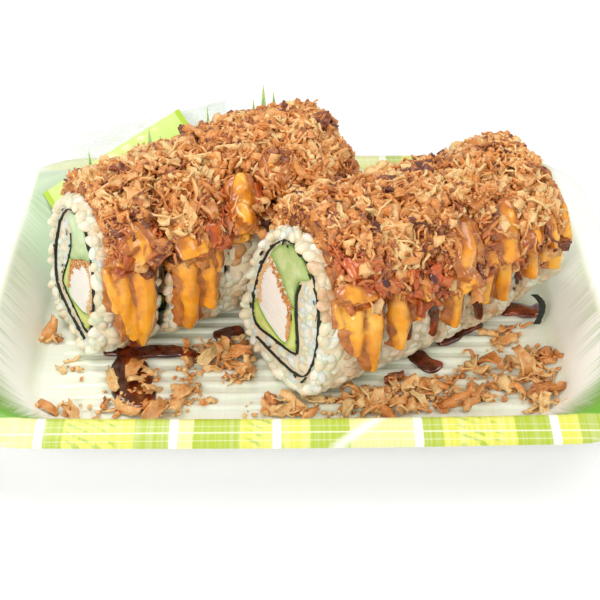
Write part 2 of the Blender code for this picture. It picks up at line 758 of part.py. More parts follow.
# Garnish and packs behind roll A
def make_grass(group):
    """A strip of green film cut into blades, standing behind roll A."""
    outline = [(GRASS_START, 0.0)]
    for tuft in range(TUFT_COUNT):
        for place, drop in TUFT:
            tip = TUFT_START + TUFT_PITCH * tuft + place
            if tip < GRASS_END:
                outline.append((tip, GRASS_HEIGHT - drop))
                outline.append((tip + BLADE_HALF, GRASS_VALLEY))
    outline.append((outline[-1][0], 0.0))
    bm = prism([outline])
    start = Vector((*ROLL_A["start"], 0)) - across_roll() * GRASS_OFFSET
    for point in bm.verts:
        place, height, layer = point.co
        wave = 0.0003 * math.sin(place * 420) + height * 0.008
        lift = GRASS_FOOT_Z + GRASS_RISE * place
        point.co = (start + along_roll() * place + Vector((0, 0, lift + height))
                    - across_roll() * (wave + layer * GRASS_THICKNESS))
    add_object("grass", bm, "grass", group)


def make_sachet(group):
    left, right = (Vector(corner) for corner in SACHET_TOP)
    down = Vector(SACHET_DOWN).normalized()
    back = down.cross(right - left).normalized()

    def place(u, v, layer):
        swell = (math.sin(math.pi * u) * math.sin(math.pi * v)) ** 0.6 if 0 < u < 1 and 0 < v < 1 else 0.0
        half = (SACHET_EDGE + SACHET_BULGE * swell) / 2
        return left.lerp(right, u) + down * (1 - v) * SACHET_DEPTH + back * (half if layer else -half)

    add_object("sachet", slab(6, 4, place), "sachet", group)


def make_film(group):
    low_left, low_right = (Vector(corner) for corner in FILM_LOW)
    high_left, high_right = (Vector(corner) for corner in FILM_HIGH)
    back = (low_right - low_left).cross(high_left - low_left).normalized()
    if back.y < 0:
        back.negate()

    def place(u, v, layer):
        flat = low_left.lerp(low_right, u).lerp(high_left.lerp(high_right, u), v)
        ripple = 0.0006 * math.sin(7 * u + 2 * v) * v
        return flat + back * (ripple + layer * FILM_THICKNESS)

    add_object("film", slab(7, 3, place), "film", group)


def make_nori_scrap(group):
    """A narrow curl of nori that has come out at the last slice."""
    top = Vector(SCRAP_TOP)

    def place(u, v, layer):
        curve = 0.0020 * math.sin(math.pi * u)
        return top + Vector((curve + 0.0020 * (v - 0.5), -SCRAP_REACH * (1 - u),
                             0.0004 * layer - SCRAP_DROP * (1 - u) ** 2))

    add_object("nori_scrap", slab(4, 1, place), "nori", group)


def main():
    clear_scene()
    group = make_collection("uramaki_roll_tray")
    slices_a = [make_slice(ROLL_A, number, group) for number in range(len(ROLL_A["slices"]))]
    slices_b = [make_slice(ROLL_B, number, group) for number in range(len(ROLL_B["slices"]))]
    heap_a = make_onions(ROLL_A, slices_a, slices_a + slices_b, group)
    make_onions(ROLL_B, slices_b, slices_a + slices_b + [heap_a], group)
    make_tray(slices_a + slices_b, group)
    make_grass(group)
    make_sachet(group)
    make_film(group)
    make_nori_scrap(group)


main()
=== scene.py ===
"""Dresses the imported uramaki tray: rice, fillings, crispy onions, sauces, printed tray and garnish."""
import math
import random
from collections import namedtuple

import bmesh
import bpy
import numpy as np
from bpy.props import FloatProperty, FloatVectorProperty, IntProperty, PointerProperty
from mathutils import Matrix, Vector, noise
from mathutils.bvhtree import BVHTree


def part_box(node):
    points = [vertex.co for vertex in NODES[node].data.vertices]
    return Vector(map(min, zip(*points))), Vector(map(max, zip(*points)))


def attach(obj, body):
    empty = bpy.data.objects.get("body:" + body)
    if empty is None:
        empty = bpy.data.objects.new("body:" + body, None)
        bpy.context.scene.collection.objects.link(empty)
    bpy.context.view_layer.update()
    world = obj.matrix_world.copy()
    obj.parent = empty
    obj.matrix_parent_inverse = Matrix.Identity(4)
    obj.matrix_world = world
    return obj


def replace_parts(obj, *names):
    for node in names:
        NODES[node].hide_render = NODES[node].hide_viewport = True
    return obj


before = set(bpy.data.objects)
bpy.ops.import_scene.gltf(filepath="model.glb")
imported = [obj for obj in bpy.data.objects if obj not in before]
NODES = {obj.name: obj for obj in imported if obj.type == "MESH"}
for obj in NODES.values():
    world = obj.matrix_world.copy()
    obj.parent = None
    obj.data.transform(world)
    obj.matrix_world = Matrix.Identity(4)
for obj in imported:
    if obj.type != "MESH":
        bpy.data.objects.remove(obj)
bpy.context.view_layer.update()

bl_info = {
    "name": "Uramaki Tray",
    "version": (1, 0, 0),
    "blender": (4, 5, 0),
    "location": "View3D > Sidebar > Uramaki",
    "description": "Dresses cut uramaki rolls with crispy onions on their printed tray",
    "category": "Object",
}

UP = Vector((0, 0, 1))


def length(name, text, value):
    return FloatProperty(name=name, description=text, default=value, min=0.0, unit="LENGTH", precision=5)


def colour(name, text, value):
    return FloatVectorProperty(name=name, description=text, default=value, min=0.0, max=1.0, size=3,
                               subtype="COLOR")


def amount(name, text, value):
    return IntProperty(name=name, description=text, default=value, min=1)


class TraySettings(bpy.types.PropertyGroup):
    """The foam tray and its printed skin."""
    rib_pitch: length("Rib pitch", "Distance between the floor's ribs", 0.0052)
    rib_height: length("Rib height", "How far the ribs stand above the floor", 0.0009)
    skin: colour("Skin", "Unprinted skin of the tray", (0.880, 0.925, 0.780))
    lime: colour("Lime", "Lime blocks of the rim's print", (0.450, 0.560, 0.030))
    yellow: colour("Yellow", "Yellow blocks of the rim's print", (0.750, 0.750, 0.100))
    # The pale blocks are partly print and partly painted highlight: their colour is that of the rim's glare-lit
    # stretches.
    pale: colour("Pale", "Palest part of the rim's print", (0.770, 0.780, 0.300))
    leaf: colour("Leaf", "Deep green at the inner corners", (0.150, 0.400, 0.022))
    # The stripe colour also serves for the painted highlights on the rim and for the painted whiter walls.
    stripe: colour("Stripe", "Fine pale stripes of the print", (0.960, 0.980, 0.900))


class RiceSettings(bpy.types.PropertyGroup):
    """The rice round the fillings."""
    grain_length: length("Grain length", "Length of a cooked grain", 0.0064)
    grain_width: length("Grain width", "Width of a cooked grain", 0.0033)
    spacing: length("Spacing", "Distance between grains on the sides", 0.0032)
    ivory: colour("Ivory", "Plain cooked rice", (0.840, 0.735, 0.520))
    stained: colour("Stained", "Rice soaked with the brown sauce", (0.540, 0.210, 0.030))


class FillingSettings(bpy.types.PropertyGroup):
    """The fillings that show at the cuts."""
    meat: colour("Meat", "Cooked chicken", (0.900, 0.830, 0.760))
    coat: colour("Coat", "Browned crumb coat", (0.640, 0.240, 0.040))
    avocado: colour("Avocado", "Avocado flesh", (0.680, 0.710, 0.200))
    avocado_edge: colour("Avocado edge", "Greener flesh near the skin", (0.330, 0.520, 0.070))
    cucumber: colour("Cucumber", "Cucumber flesh", (0.500, 0.640, 0.270))
    cucumber_skin: colour("Cucumber skin", "Cucumber near the skin", (0.200, 0.400, 0.080))
    nori: colour("Nori", "Seaweed sheet", (0.010, 0.014, 0.010))


class OnionSettings(bpy.types.PropertyGroup):
    """The crispy fried onions."""
    flakes: amount("Flakes", "Curled flakes on each roll", 1400)
    shreds: amount("Shreds", "Thin shreds on each roll", 1400)
    crumbs: amount("Crumbs", "Small crumbs on each roll", 4200)
    pale: colour("Pale", "Palest flakes", (0.940, 0.640, 0.270))
    golden: colour("Golden", "Golden flakes", (0.800, 0.300, 0.058))
    brown: colour("Brown", "Darkest flakes", (0.270, 0.055, 0.016))


class SauceSettings(bpy.types.PropertyGroup):
    """The thick orange ribbons and the thin brown sauce."""
    ribbon_height: length("Ribbon height", "How far the mayonnaise stands out of the rice", 0.0019)
    run_height: length("Run height", "How far the brown sauce stands out of the rice", 0.0008)
    orange: colour("Orange", "Spicy mayonnaise", (0.980, 0.385, 0.012))
    brown: colour("Brown", "Thin sweet sauce", (0.095, 0.011, 0.003))
    amber: colour("Amber", "Sauce where it thins out over the rice", (0.480, 0.135, 0.014))
    red: colour("Red", "Sauce where it lies on the onions", (0.600, 0.105, 0.012))


class GarnishSettings(bpy.types.PropertyGroup):
    """Grass, sachet, clear bag and the loose seaweed."""
    grass: colour("Grass", "Plastic grass", (0.120, 0.800, 0.280))
    teal: colour("Teal", "Plastic grass at its cut edges", (0.020, 0.450, 0.330))
    sachet: colour("Sachet", "Printed sachet", (0.560, 0.780, 0.040))
    mark: colour("Mark", "Round mark on the sachet", (0.850, 0.330, 0.030))


class StageSettings(bpy.types.PropertyGroup):
    """Floor, lights and camera."""
    floor: colour("Floor", "Table under the tray", (0.930, 0.930, 0.930))
    lens: FloatProperty(name="Lens", description="Focal length in millimetres", default=72.18, min=1.0)


SETTINGS = {"tray": TraySettings, "rice": RiceSettings, "filling": FillingSettings, "onion": OnionSettings,
            "sauce": SauceSettings, "garnish": GarnishSettings, "stage": StageSettings}


def settings(kind):
    return getattr(bpy.context.scene, f"uramaki_{kind}")


# The rolls, as the CAD lays them, in metres
ROLL_YAW = math.radians(28.5)
HALF_WIDTH = 0.0224
ROLL_UP = 0.0245
ROLL_DOWN = 0.0225
ROLL_BASE_Z = 0.0033
TOP_POWER = 2.15
BASE_POWER = 3.6
FILLING_SCALE = 1.03
# A slice: where it starts and ends, its girth, and for its two cuts turn and lean in degrees, lift and shift
Spec = namedtuple("Spec", "start end girth turn lean lift shift")
ROLLS = {
    "a": {"start": (-0.0690, -0.0060), "lap_side": -1, "slices": [
        Spec(0.0000, 0.0204, 1.01, (-2.0, -6.0), (9, 5), (0, 0), (0, 0.0012)),
        Spec(0.0228, 0.0416, 1.00, (-1.5, -1.0), (5, 4), (0, 0), (0.0012, 0.0008)),
        Spec(0.0424, 0.0588, 1.01, (-0.5, 0.0), (4, 3), (0, 0), (0.0006, 0)),
        Spec(0.0596, 0.0752, 1.00, (0.0, 0.0), (3, 2), (0, 0), (-0.0002, -0.0004)),
        Spec(0.0760, 0.0908, 1.01, (0.0, -1.0), (2, 0), (0, 0.0006), (-0.0006, -0.0008)),
    ]},
    "b": {"start": (-0.0046, -0.0244), "lap_side": 1, "slices": [
        Spec(0.0000, 0.0204, 1.02, (1.5, 0.5), (12, 8), (0, 0), (0.0010, 0.0006)),
        Spec(0.0212, 0.0378, 1.00, (0.5, 0.0), (8, 6), (0, 0), (0.0004, 0)),
        Spec(0.0386, 0.0534, 0.99, (0.0, 0.0), (6, 4), (0, 0), (-0.0004, -0.0010)),
        Spec(0.0542, 0.0718, 0.97, (0.0, 0.0), (4, 0), (0, 0.0008), (-0.0014, -0.0016)),
        Spec(0.0728, 0.0900, 0.92, (0.5, -1.0), (-2, -11), (0.0034, 0.0078), (-0.0014, -0.0014)),
    ]},
}
SHOWN_CUTS = {"a1": (0, 1), "a2": (0,), "a5": (1,), "b1": (0,), "b5": (1,)}    # cuts that can be seen
# Section outlines: across, towards the tray's front in roll B and its back in roll A, and up from the middle
NORI_LINE = [
    (0.0047, 0.0110), (0.0039, 0.0070), (0.0056, 0.0015), (0.0094, -0.0070), (0.0072, -0.0096),
    (-0.0035, -0.0114), (-0.0125, -0.0124), (-0.0163, -0.0080), (-0.0169, -0.0015), (-0.0152, 0.0080),
    (-0.0102, 0.0158), (-0.0040, 0.0195), (0.0030, 0.0193), (0.0098, 0.0159), (0.0150, 0.0088),
    (0.0175, -0.0010), (0.0170, -0.0090), (0.0135, -0.0135), (0.0050, -0.0152), (-0.0040, -0.0158),
    (-0.0110, -0.0161),
]
NORI_INNER_TURN = 13        # points of the line that go once round the fillings
CHICKEN = [
    (-0.0116, 0.0102), (-0.0070, 0.0083), (-0.0020, 0.0052), (0.0022, 0.0029), (0.0034, -0.0010),
    (0.0039, -0.0070), (0.0016, -0.0090), (-0.0069, -0.0080), (-0.0105, -0.0069), (-0.0136, -0.0052),
    (-0.0156, 0.0000), (-0.0149, 0.0054),
]
AVOCADO = [
    (-0.0157, -0.0055), (-0.0153, -0.0078), (-0.0121, -0.0115), (-0.0035, -0.0107), (0.0069, -0.0088),
    (0.0086, -0.0069), (0.0052, 0.0006), (0.0043, 0.0026), (0.0031, 0.0024), (0.0039, -0.0010),
    (0.0044, -0.0072), (0.0018, -0.0095), (-0.0070, -0.0085), (-0.0108, -0.0074), (-0.0134, -0.0060),
]
CUCUMBER = [
    (-0.0123, 0.0111), (-0.0095, 0.0152), (-0.0039, 0.0187), (0.0028, 0.0185), (0.0085, 0.0152),
    (0.0043, 0.0120), (0.0036, 0.0112), (0.0031, 0.0070), (0.0040, 0.0039), (0.0037, 0.0033),
    (0.0025, 0.0035), (-0.0017, 0.0058), (-0.0067, 0.0089), (-0.0113, 0.0108),
]


def along_roll(yaw=0.0):
    angle = ROLL_YAW + yaw
    return Vector((math.cos(angle), math.sin(angle), 0))


def across_roll(yaw=0.0):
    """Level and square to the roll, towards the tray's front."""
    angle = ROLL_YAW + yaw
    return Vector((math.sin(angle), -math.cos(angle), 0))


def roll_outline(angle):
    """The roll's outside at an angle from its front, as across and up."""
    cos, sin = math.cos(angle), math.sin(angle)
    power, reach = (TOP_POWER, ROLL_UP) if sin > 0 else (BASE_POWER, ROLL_DOWN)
    across = HALF_WIDTH * math.copysign(abs(cos) ** (2 / power), cos)
    return across, max(reach * math.copysign(abs(sin) ** (2 / power), sin), -ROLL_DOWN)


class Cut:
    """One cut face: where its middle is and which way its plane lies."""

    def __init__(self, start, place, turn, lean, lift, shift):
        turn, lean = math.radians(turn), math.radians(lean)
        self.side = across_roll(turn)
        self.up = along_roll(turn) * math.sin(lean) + UP * math.cos(lean)
        height = ROLL_BASE_Z + ROLL_DOWN * math.cos(lean) + lift
        self.middle = Vector((*start, 0)) + along_roll() * place + across_roll() * shift + UP * height
        self.into = self.up.cross(self.side).normalized()
        if self.into.dot(along_roll()) < 0:
            self.into.negate()

    def point(self, across, up):
        return self.middle + self.side * across + self.up * up


class Slice:
    """A slice between two cuts. Its points are given by depth (0 to 1), across and up."""

    def __init__(self, roll, number):
        data = ROLLS[roll]
        spec = data["slices"][number]
        self.roll = roll
        self.name = f"{roll}{number + 1}"
        self.girth = spec.girth
        drop = ROLL_DOWN * (1 - spec.girth)
        self.near, self.far = (
            Cut(data["start"], place, spec.turn[end], spec.lean[end], spec.lift[end] - drop, spec.shift[end])
            for end, place in enumerate((spec.start, spec.end)))
        self.length = (self.far.middle - self.near.middle).length
        self.lap_side = data["lap_side"]
        self.shown = SHOWN_CUTS.get(self.name, ())
        drawn = random.Random(ord(roll) * 100 + number)
        self.skew = drawn.uniform(-1.6, 1.6)
        self.squash = drawn.uniform(-0.025, 0.025)

    def point(self, depth, across, up):
        return self.near.point(across, up).lerp(self.far.point(across, up), depth)

    def face(self, end):
        """The cut at one end and the way from it into the slice."""
        cut = (self.near, self.far)[end]
        return cut, cut.into if end == 0 else -cut.into

    def outline(self, count, inset=0.0):
        found = []
        for index in range(count):
            spot = Vector(roll_outline(2 * math.pi * index / count)) * self.girth
            found.append(spot - spot.normalized() * inset)
        return found

    def warp(self, outline):
        """Fits a section outline to this slice: its lap side, girth and small unevenness."""
        found = []
        for across, up in outline:
            across = across * self.lap_side * self.girth * FILLING_SCALE * (1 + self.squash)
            up = up * self.girth * FILLING_SCALE * (1 - self.squash)
            found.append(Vector((across + self.skew * up * up, up)))
        return found


SLICES = [Slice(roll, number) for roll in "ab" for number in range(5)]
RAY_START = 0.06        # where rays start: this far from a roll's middle line, or this high


def slices_of(roll):
    return [piece for piece in SLICES if piece.roll == roll]


def rice_names(roll):
    return [f"{piece.name}_rice" for piece in slices_of(roll)]


class RollSpace:
    """Places on a roll: along it, round it from the top, and out from its middle line."""

    def __init__(self, roll):
        self.roll = roll
        self.start = Vector((*ROLLS[roll]["start"], ROLL_BASE_Z + ROLL_DOWN))
        self.length = ROLLS[roll]["slices"][-1].end

    def direction(self, tilt):
        return across_roll() * math.sin(tilt) + UP * math.cos(tilt)

    def at(self, place, tilt, reach):
        return self.start + along_roll() * place + self.direction(tilt) * reach

    def hit(self, tree, place, tilt):
        """How far from the middle line a ray from outside meets the tree, or nothing."""
        spot, _, _, far = tree.ray_cast(self.at(place, tilt, RAY_START), -self.direction(tilt))
        return None if spot is None else RAY_START - far


# Mesh helpers
def deselect():
    for item in bpy.context.selected_objects:
        item.select_set(False)


def choose(thing):
    deselect()
    thing.select_set(True)
    bpy.context.view_layer.objects.active = thing


def finish_object(name, bm, finish, crease=None):
    """Makes a piece of a mesh that is already in place; edges over the crease angle stay sharp."""
    bmesh.ops.recalc_face_normals(bm, faces=bm.faces)
    mesh = bpy.data.meshes.new(name)
    bm.to_mesh(mesh)
    bm.free()
    made = finish_mesh(name, mesh, finish)
    if crease:
        choose(made)
        bpy.ops.object.shade_smooth_by_angle(angle=math.radians(crease))
    return made


def finish_mesh(name, mesh, finish):
    mesh.shade_smooth()
    mesh.materials.append(finish)
    made = bpy.data.objects.new(name, mesh)
    bpy.context.scene.collection.objects.link(made)
    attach(made, "root")
    return made


def close_rings(bm, rings):
    """Joins rings of points into one closed body."""
    for low, high in zip(rings, rings[1:]):
        for index in range(len(low)):
            after = (index + 1) % len(low)
            bm.faces.new((low[index], low[after], high[after], high[index]))
    bm.faces.new(rings[0][::-1])
    bm.faces.new(rings[-1])


def apply_modifiers(thing):
    choose(thing)
    for modifier in list(thing.modifiers):
        bpy.ops.object.modifier_apply(modifier=modifier.name)


def mesh_tree(*meshes):
    """A search tree of the faces of some meshes."""
    bm = bmesh.new()
    for mesh in meshes:
        bm.from_mesh(mesh)
    tree = BVHTree.FromBMesh(bm)
    bm.free()
    return tree


def node_tree(*names):
    return mesh_tree(*(NODES[name].data for name in names))


def grab_mesh(thing):
    """The points and faces of a modelled shape, which is then removed."""
    mesh = thing.data
    points = np.array([tuple(point.co) for point in mesh.vertices])
    faces = [tuple(face.vertices) for face in mesh.polygons]
    bpy.data.objects.remove(thing)
    bpy.data.meshes.remove(mesh)
    return points, faces


def join_copies(name, masters, spots, finish):
    """One mesh of many copies. Each spot is (master, 3 by 3 matrix, place, tint, soak)."""
    points, faces, tints, soaks, count = [], [], [], [], 0
    for master, turn, place, tint, soak in spots:
        shape, sides = masters[master]
        points.append(shape @ np.array(turn).T + np.array(place))
        faces.extend([tuple(index + count for index in side) for side in sides])
        tints.append(np.full(len(shape), tint))
        soaks.append(np.full(len(shape), soak))
        count += len(shape)
    mesh = bpy.data.meshes.new(name)
    mesh.from_pydata(np.concatenate(points).tolist(), [], faces)
    for label, values in (("tint", tints), ("soak", soaks)):
        mesh.attributes.new(label, "FLOAT", "POINT").data.foreach_set(
            "value", np.concatenate(values).astype(np.float32))
    return finish_mesh(name, mesh, finish)


def axes(along, out):
    """A turn whose first axis lies along and whose third points out."""
    along = (along - out * along.dot(out)).normalized()
    side = out.cross(along)
    return Matrix((along, side, out)).transposed()


def smooth_loop(points, steps, closed=True):
    """A rounder line through the points, with some steps between each two."""
    found = []
    count = len(points)
    for index in range(count if closed else count - 1):
        near = [index + shift for shift in (-1, 0, 1, 2)]
        a, b, c, d = (Vector(points[at % count if closed else min(max(at, 0), count - 1)]) for at in near)
        for step in range(steps):
            t = step / steps
            found.append(0.5 * ((2 * b) + (c - a) * t + (2 * a - 5 * b + 4 * c - d) * t * t
                                + (3 * b - a - 3 * c + d) * t ** 3))
    if not closed:
        found.append(Vector(points[-1]))
    return found


def inside(point, outline):
    """Whether a flat point is inside a closed outline."""
    found = False
    x, y = point
    for (x1, y1), (x2, y2) in zip(outline, outline[1:] + outline[:1]):
        if (y1 > y) != (y2 > y) and x < (x2 - x1) * (y - y1) / (y2 - y1) + x1:
            found = not found
    return found


def line_distance(point, line):
    """The distance from a flat point to an open line."""
    best = 1.0
    for start, end in zip(line, line[1:]):
        span = end - start
        share = min(max((point - start).dot(span) / max(span.length_squared, 1e-12), 0.0), 1.0)
        best = min(best, (point - start - span * share).length)
    return best


def clamp(value, high=1.0):
    return min(high, max(0.0, value))


def left_of(along):
    return Vector((-along.y, along.x))


def wobble(point, scale, seed=0.0):
    """A smooth random value between about -1 and 1."""
    return noise.noise(Vector(point) / scale + Vector((seed, seed * 1.7, seed * 0.6)))


# Materials
class Finish:
    """One material and its nodes."""

    def __init__(self, name, **shader):
        self.material = bpy.data.materials.new(name)
        self.material.use_nodes = True
        self.tree = self.material.node_tree
        self.shader = self.tree.nodes["Principled BSDF"]
        for socket, value in shader.items():
            self.shader.inputs[socket.replace("_", " ")].default_value = value
        self._place = None

    def node(self, kind, **inputs):
        """A new node with its sockets set to values or linked."""
        made = self.tree.nodes.new(f"ShaderNode{kind}")
        for name, value in inputs.items():
            socket = made.inputs[name.replace("_", " ")]
            if isinstance(value, bpy.types.NodeSocket):
                self.tree.links.new(value, socket)
            else:
                socket.default_value = value
        return made

    def place(self):
        """Object coordinates."""
        if self._place is None:
            self._place = self.node("TexCoord").outputs["Object"]
        return self._place

    def scaled(self, scale):
        """Object coordinates, stretched by three factors."""
        return self.node("Mapping", Scale=scale, Vector=self.place()).outputs["Vector"]

    def attribute(self, name):
        made = self.node("Attribute")
        made.attribute_name = name
        return made.outputs["Fac"]

    def noise(self, scale, detail=3.0, rough=0.5, vector=None, distortion=0.0):
        return self.node("TexNoise", Scale=scale, Detail=detail, Roughness=rough, Distortion=distortion,
                         Vector=vector or self.place()).outputs["Fac"]

    def streaks(self, scale, low, high, detail=2.0, rough=0.6):
        """Soft streaks, long where the scale is small."""
        return self.grey(self.noise(1.0, detail, rough, self.scaled(scale)), low, high)

    def axis(self, name, vector=None):
        return self.node("SeparateXYZ", Vector=vector or self.place()).outputs[name]

    def math(self, kind, first, second=0.0, third=0.0):
        made = self.node("Math")
        made.operation = kind
        for socket, value in zip(made.inputs, (first, second, third)):
            self.feed(socket, value)
        return made.outputs["Value"]

    def band(self, value, low, high, soft=0.00015):
        """1 between low and high, with soft ends."""
        return self.math("SUBTRACT", self.step(value, low, soft), self.step(value, high, soft))

    def step(self, value, edge, soft):
        """0 below an edge and 1 above it."""
        return self.grey(value, edge - soft, edge + soft)

    def times(self, first, second):
        return self.math("MULTIPLY", first, second)

    def plus(self, first, second):
        return self.math("ADD", first, second)

    def scale_add(self, value, factor, addend):
        return self.math("MULTIPLY_ADD", value, factor, addend)

    def most(self, first, second):
        return self.math("MAXIMUM", first, second)

    def size_of(self, value):
        return self.math("ABSOLUTE", value)

    def ramp(self, value, stops):
        """Colours by value: (position, colour) pairs."""
        made = self.node("ValToRGB", Fac=value)
        marks = made.color_ramp.elements
        marks.remove(marks[-1])
        marks[0].position, marks[0].color = stops[0][0], (*stops[0][1], 1)
        for position, shade in stops[1:]:
            marks.new(position).color = (*shade, 1)
        return made.outputs["Color"]

    def grey(self, value, low, high):
        """A value stretched so that low gives 0 and high gives 1."""
        return self.node("MapRange", From_Min=low, From_Max=high, Value=value).outputs["Result"]

    def mix(self, mask, under, over, share=1.0):
        """One colour laid over another where the mask is, by a share of it."""
        made = self.node("Mix")
        made.data_type = "RGBA"
        mask = mask if share == 1.0 else self.times(mask, share)
        for index, value in ((0, mask), (6, under), (7, over)):
            self.feed(made.inputs[index], value)
        return made.outputs[2]

    def feed(self, socket, value):
        if isinstance(value, (int, float)):
            socket.default_value = value
        elif isinstance(value, bpy.types.NodeSocket):
            self.tree.links.new(value, socket)
        else:
            socket.default_value = (*value, 1)

    def bump(self, height, distance, strength=1.0, **under):
        return self.node("Bump", Distance=distance, Strength=strength, Height=height, **under).outputs["Normal"]

    def paint(self, colour=None, roughness=None, normal=None, alpha=None):
        for socket, value in (("Base Color", colour), ("Roughness", roughness), ("Normal", normal),
                              ("Alpha", alpha)):
            if value is not None:
                self.feed(self.shader.inputs[socket], value)
        return self.material


def darker(shade, share):
    return tuple(value * share for value in shade)


def blend(first, second, share):
    return tuple(a + (b - a) * share for a, b in zip(first, second))


def bleached(shade, share):
    return blend(shade, (1, 1, 1), share)


def rice_finish():
    """Cooked grains: pearly and moist, some soaked with brown sauce."""
    look = settings("rice")
    made = Finish("rice_grains", Subsurface_Weight=0.35, Subsurface_Scale=0.0018, Coat_Weight=0.14,
                  Coat_Roughness=0.28)
    cloud = made.noise(420, 4)
    plain = made.ramp(made.attribute("tint"), [(0.0, darker(look.ivory, 0.80)), (0.35, look.ivory),
                                               (0.70, blend(look.ivory, (0.95, 0.93, 0.86), 0.6)),
                                               (1.0, (0.66, 0.66, 0.60))])
    soak = made.scale_add(made.grey(cloud, 0.3, 0.7), 0.5, -0.25)
    soak = made.plus(made.attribute("soak"), soak)
    golden = made.mix(made.grey(soak, 0.30, 0.70), plain, blend(look.stained, look.ivory, 0.45))
    soaked = made.mix(made.grey(soak, 0.65, 1.15), golden, look.stained)
    rough = made.scale_add(cloud, 0.30, 0.20)
    return made.paint(soaked, rough, made.bump(cloud, 0.0003, 0.5))


def core_finish(name, light, dark, scale=260):
    """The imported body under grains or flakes."""
    made = Finish(name)
    cloud = made.noise(scale, 5)
    return made.paint(made.ramp(cloud, [(0.3, dark), (0.7, light)]), 0.6, made.bump(cloud, 0.0008))


def nori_finish():
    look = settings("filling")
    made = Finish("seaweed", Specular_IOR_Level=0.35)
    cloud = made.noise(900, 6, 0.7)
    shade = made.ramp(cloud, [(0.3, darker(look.nori, 0.4)), (0.75, blend(look.nori, (0.05, 0.06, 0.03), 0.5))])
    return made.paint(shade, made.scale_add(cloud, 0.4, 0.3), made.bump(cloud, 0.0003))


def meat_finish():
    """White meat: soft strands across the cut, a little moist."""
    look = settings("filling")
    made = Finish("chicken_meat", Subsurface_Weight=0.4, Subsurface_Scale=0.002, Coat_Weight=0.15)
    strands = made.noise(150, 5, 0.6, made.scaled((1.0, 1.0, 4.5)), 1.2)
    fine = made.noise(900, 3)
    shade = made.ramp(strands, [(0.22, darker(look.meat, 0.84)), (0.42, look.meat),
                                (0.70, blend(look.meat, (0.95, 0.90, 0.84), 0.6))])
    both = made.scale_add(fine, 0.3, strands)
    return made.paint(shade, 0.42, made.bump(both, 0.0006, 0.5))


def crumb_finish():
    look = settings("filling")
    made = Finish("crumb_coat", Coat_Weight=0.1)
    cloud = made.noise(600, 5, 0.6)
    tint = made.scale_add(made.attribute("tint"), 0.6, made.times(cloud, 0.5))
    shade = made.ramp(tint, [(0.15, darker(look.coat, 0.45)), (0.5, look.coat),
                             (0.80, blend(look.coat, (0.85, 0.60, 0.30), 0.55)), (1.0, (0.72, 0.58, 0.40))])
    return made.paint(shade, 0.6, made.bump(cloud, 0.0006))


def flesh_finish(name, shade, edge, scale, weight=0.3, coat=0.4):
    """Wet fruit flesh that turns greener towards its edge."""
    made = Finish(name, Subsurface_Weight=weight, Subsurface_Scale=0.002, Coat_Weight=coat, Coat_Roughness=0.15)
    cloud = made.noise(scale, 4, 0.5, None, 0.6)
    middle = made.ramp(cloud, [(0.3, blend(shade, edge, 0.30)), (0.5, shade),
                               (0.75, blend(shade, (0.85, 0.90, 0.62), 0.45))])
    mixed = made.mix(made.grey(made.attribute("soak"), 0.1, 1.0), middle, edge)
    return made.paint(mixed, 0.32, made.bump(cloud, 0.0005, 0.6))


def onion_finish():
    """Fried onion: thin, uneven brown, oily, with dark edges and pale specks, partly crumb and partly painted
    highlight.
    """
    look = settings("onion")
    made = Finish("crispy_onion", Coat_Weight=0.35, Coat_Roughness=0.22)
    cloud = made.noise(420, 5, 0.65)
    veins = made.noise(260, 3, 0.5, made.scaled((1.0, 1.6, 3.0)), 1.5)
    tint = made.scale_add(cloud, 1.05, made.plus(made.attribute("tint"), -0.52))
    # The soak darkens flakes: by brown sauce where wet, and as painted shade where they lie in the heap's dips.
    tint = made.scale_add(made.attribute("soak"), -0.26, tint)
    shade = made.ramp(tint, [(0.02, darker(look.brown, 0.5)), (0.18, look.brown),
                             (0.40, blend(look.brown, look.golden, 0.75)), (0.58, look.golden),
                             (0.95, look.pale)])
    # Pale specks: partly crumb and partly painted highlights on the flakes.
    crumb_and_glint_specks = made.grey(made.noise(1100, 3, 0.6), 0.58, 0.74)
    shade = made.mix(crumb_and_glint_specks, shade, blend(look.pale, (0.95, 0.85, 0.65), 0.4), 0.65)
    wet = made.grey(made.attribute("soak"), 0.75, 1.0)
    shade = made.mix(wet, shade, settings("sauce").red, 0.72)
    rough = made.scale_add(wet, -0.18, made.scale_add(cloud, 0.35, 0.28))
    under = made.bump(veins, 0.0006, 0.7)
    return made.paint(shade, rough, made.bump(made.noise(900, 4, 0.6), 0.0005, 0.8, Normal=under))


def ribbon_finish():
    look = settings("sauce")
    made = Finish("orange_mayonnaise", Subsurface_Weight=0.25, Subsurface_Scale=0.0012, Coat_Weight=0.9,
                  Coat_Roughness=0.06, Specular_IOR_Level=0.35)
    cloud = made.noise(110, 2, 0.5)
    shade = made.ramp(cloud, [(0.30, blend(look.orange, look.amber, 0.55)), (0.45, look.orange),
                              (0.72, blend(look.orange, (1.0, 0.62, 0.10), 0.7))])
    uneven = made.scale_add(made.grey(made.noise(240, 3), 0.35, 0.65), 0.5, made.attribute("thick"))
    streaks = made.grey(made.noise(1.0, 3, 0.6, made.scaled((340.0, 340.0, 70.0)), 0.6), 0.52, 0.70)
    shade = made.mix(streaks, shade, blend(look.orange, look.amber, 0.6), 0.45)
    shade = made.mix(made.grey(uneven, 1.05, 0.55), shade, look.amber)
    return made.paint(shade, 0.20, made.bump(made.noise(260, 2), 0.0005, 0.4))


def glaze_finish(name, shade):
    """Brown sauce thinned out: a wet, see-through looking film of one shade."""
    look = settings("sauce")
    made = Finish(name, Coat_Weight=0.8, Coat_Roughness=0.06)
    cloud = made.noise(300, 4, 0.6)
    mixed = made.ramp(cloud, [(0.30, blend(shade, look.brown, 0.5)), (0.52, shade),
                              (0.80, blend(shade, (0.90, 0.42, 0.10), 0.6))])
    return made.paint(mixed, 0.22, made.bump(cloud, 0.0003, 0.5))


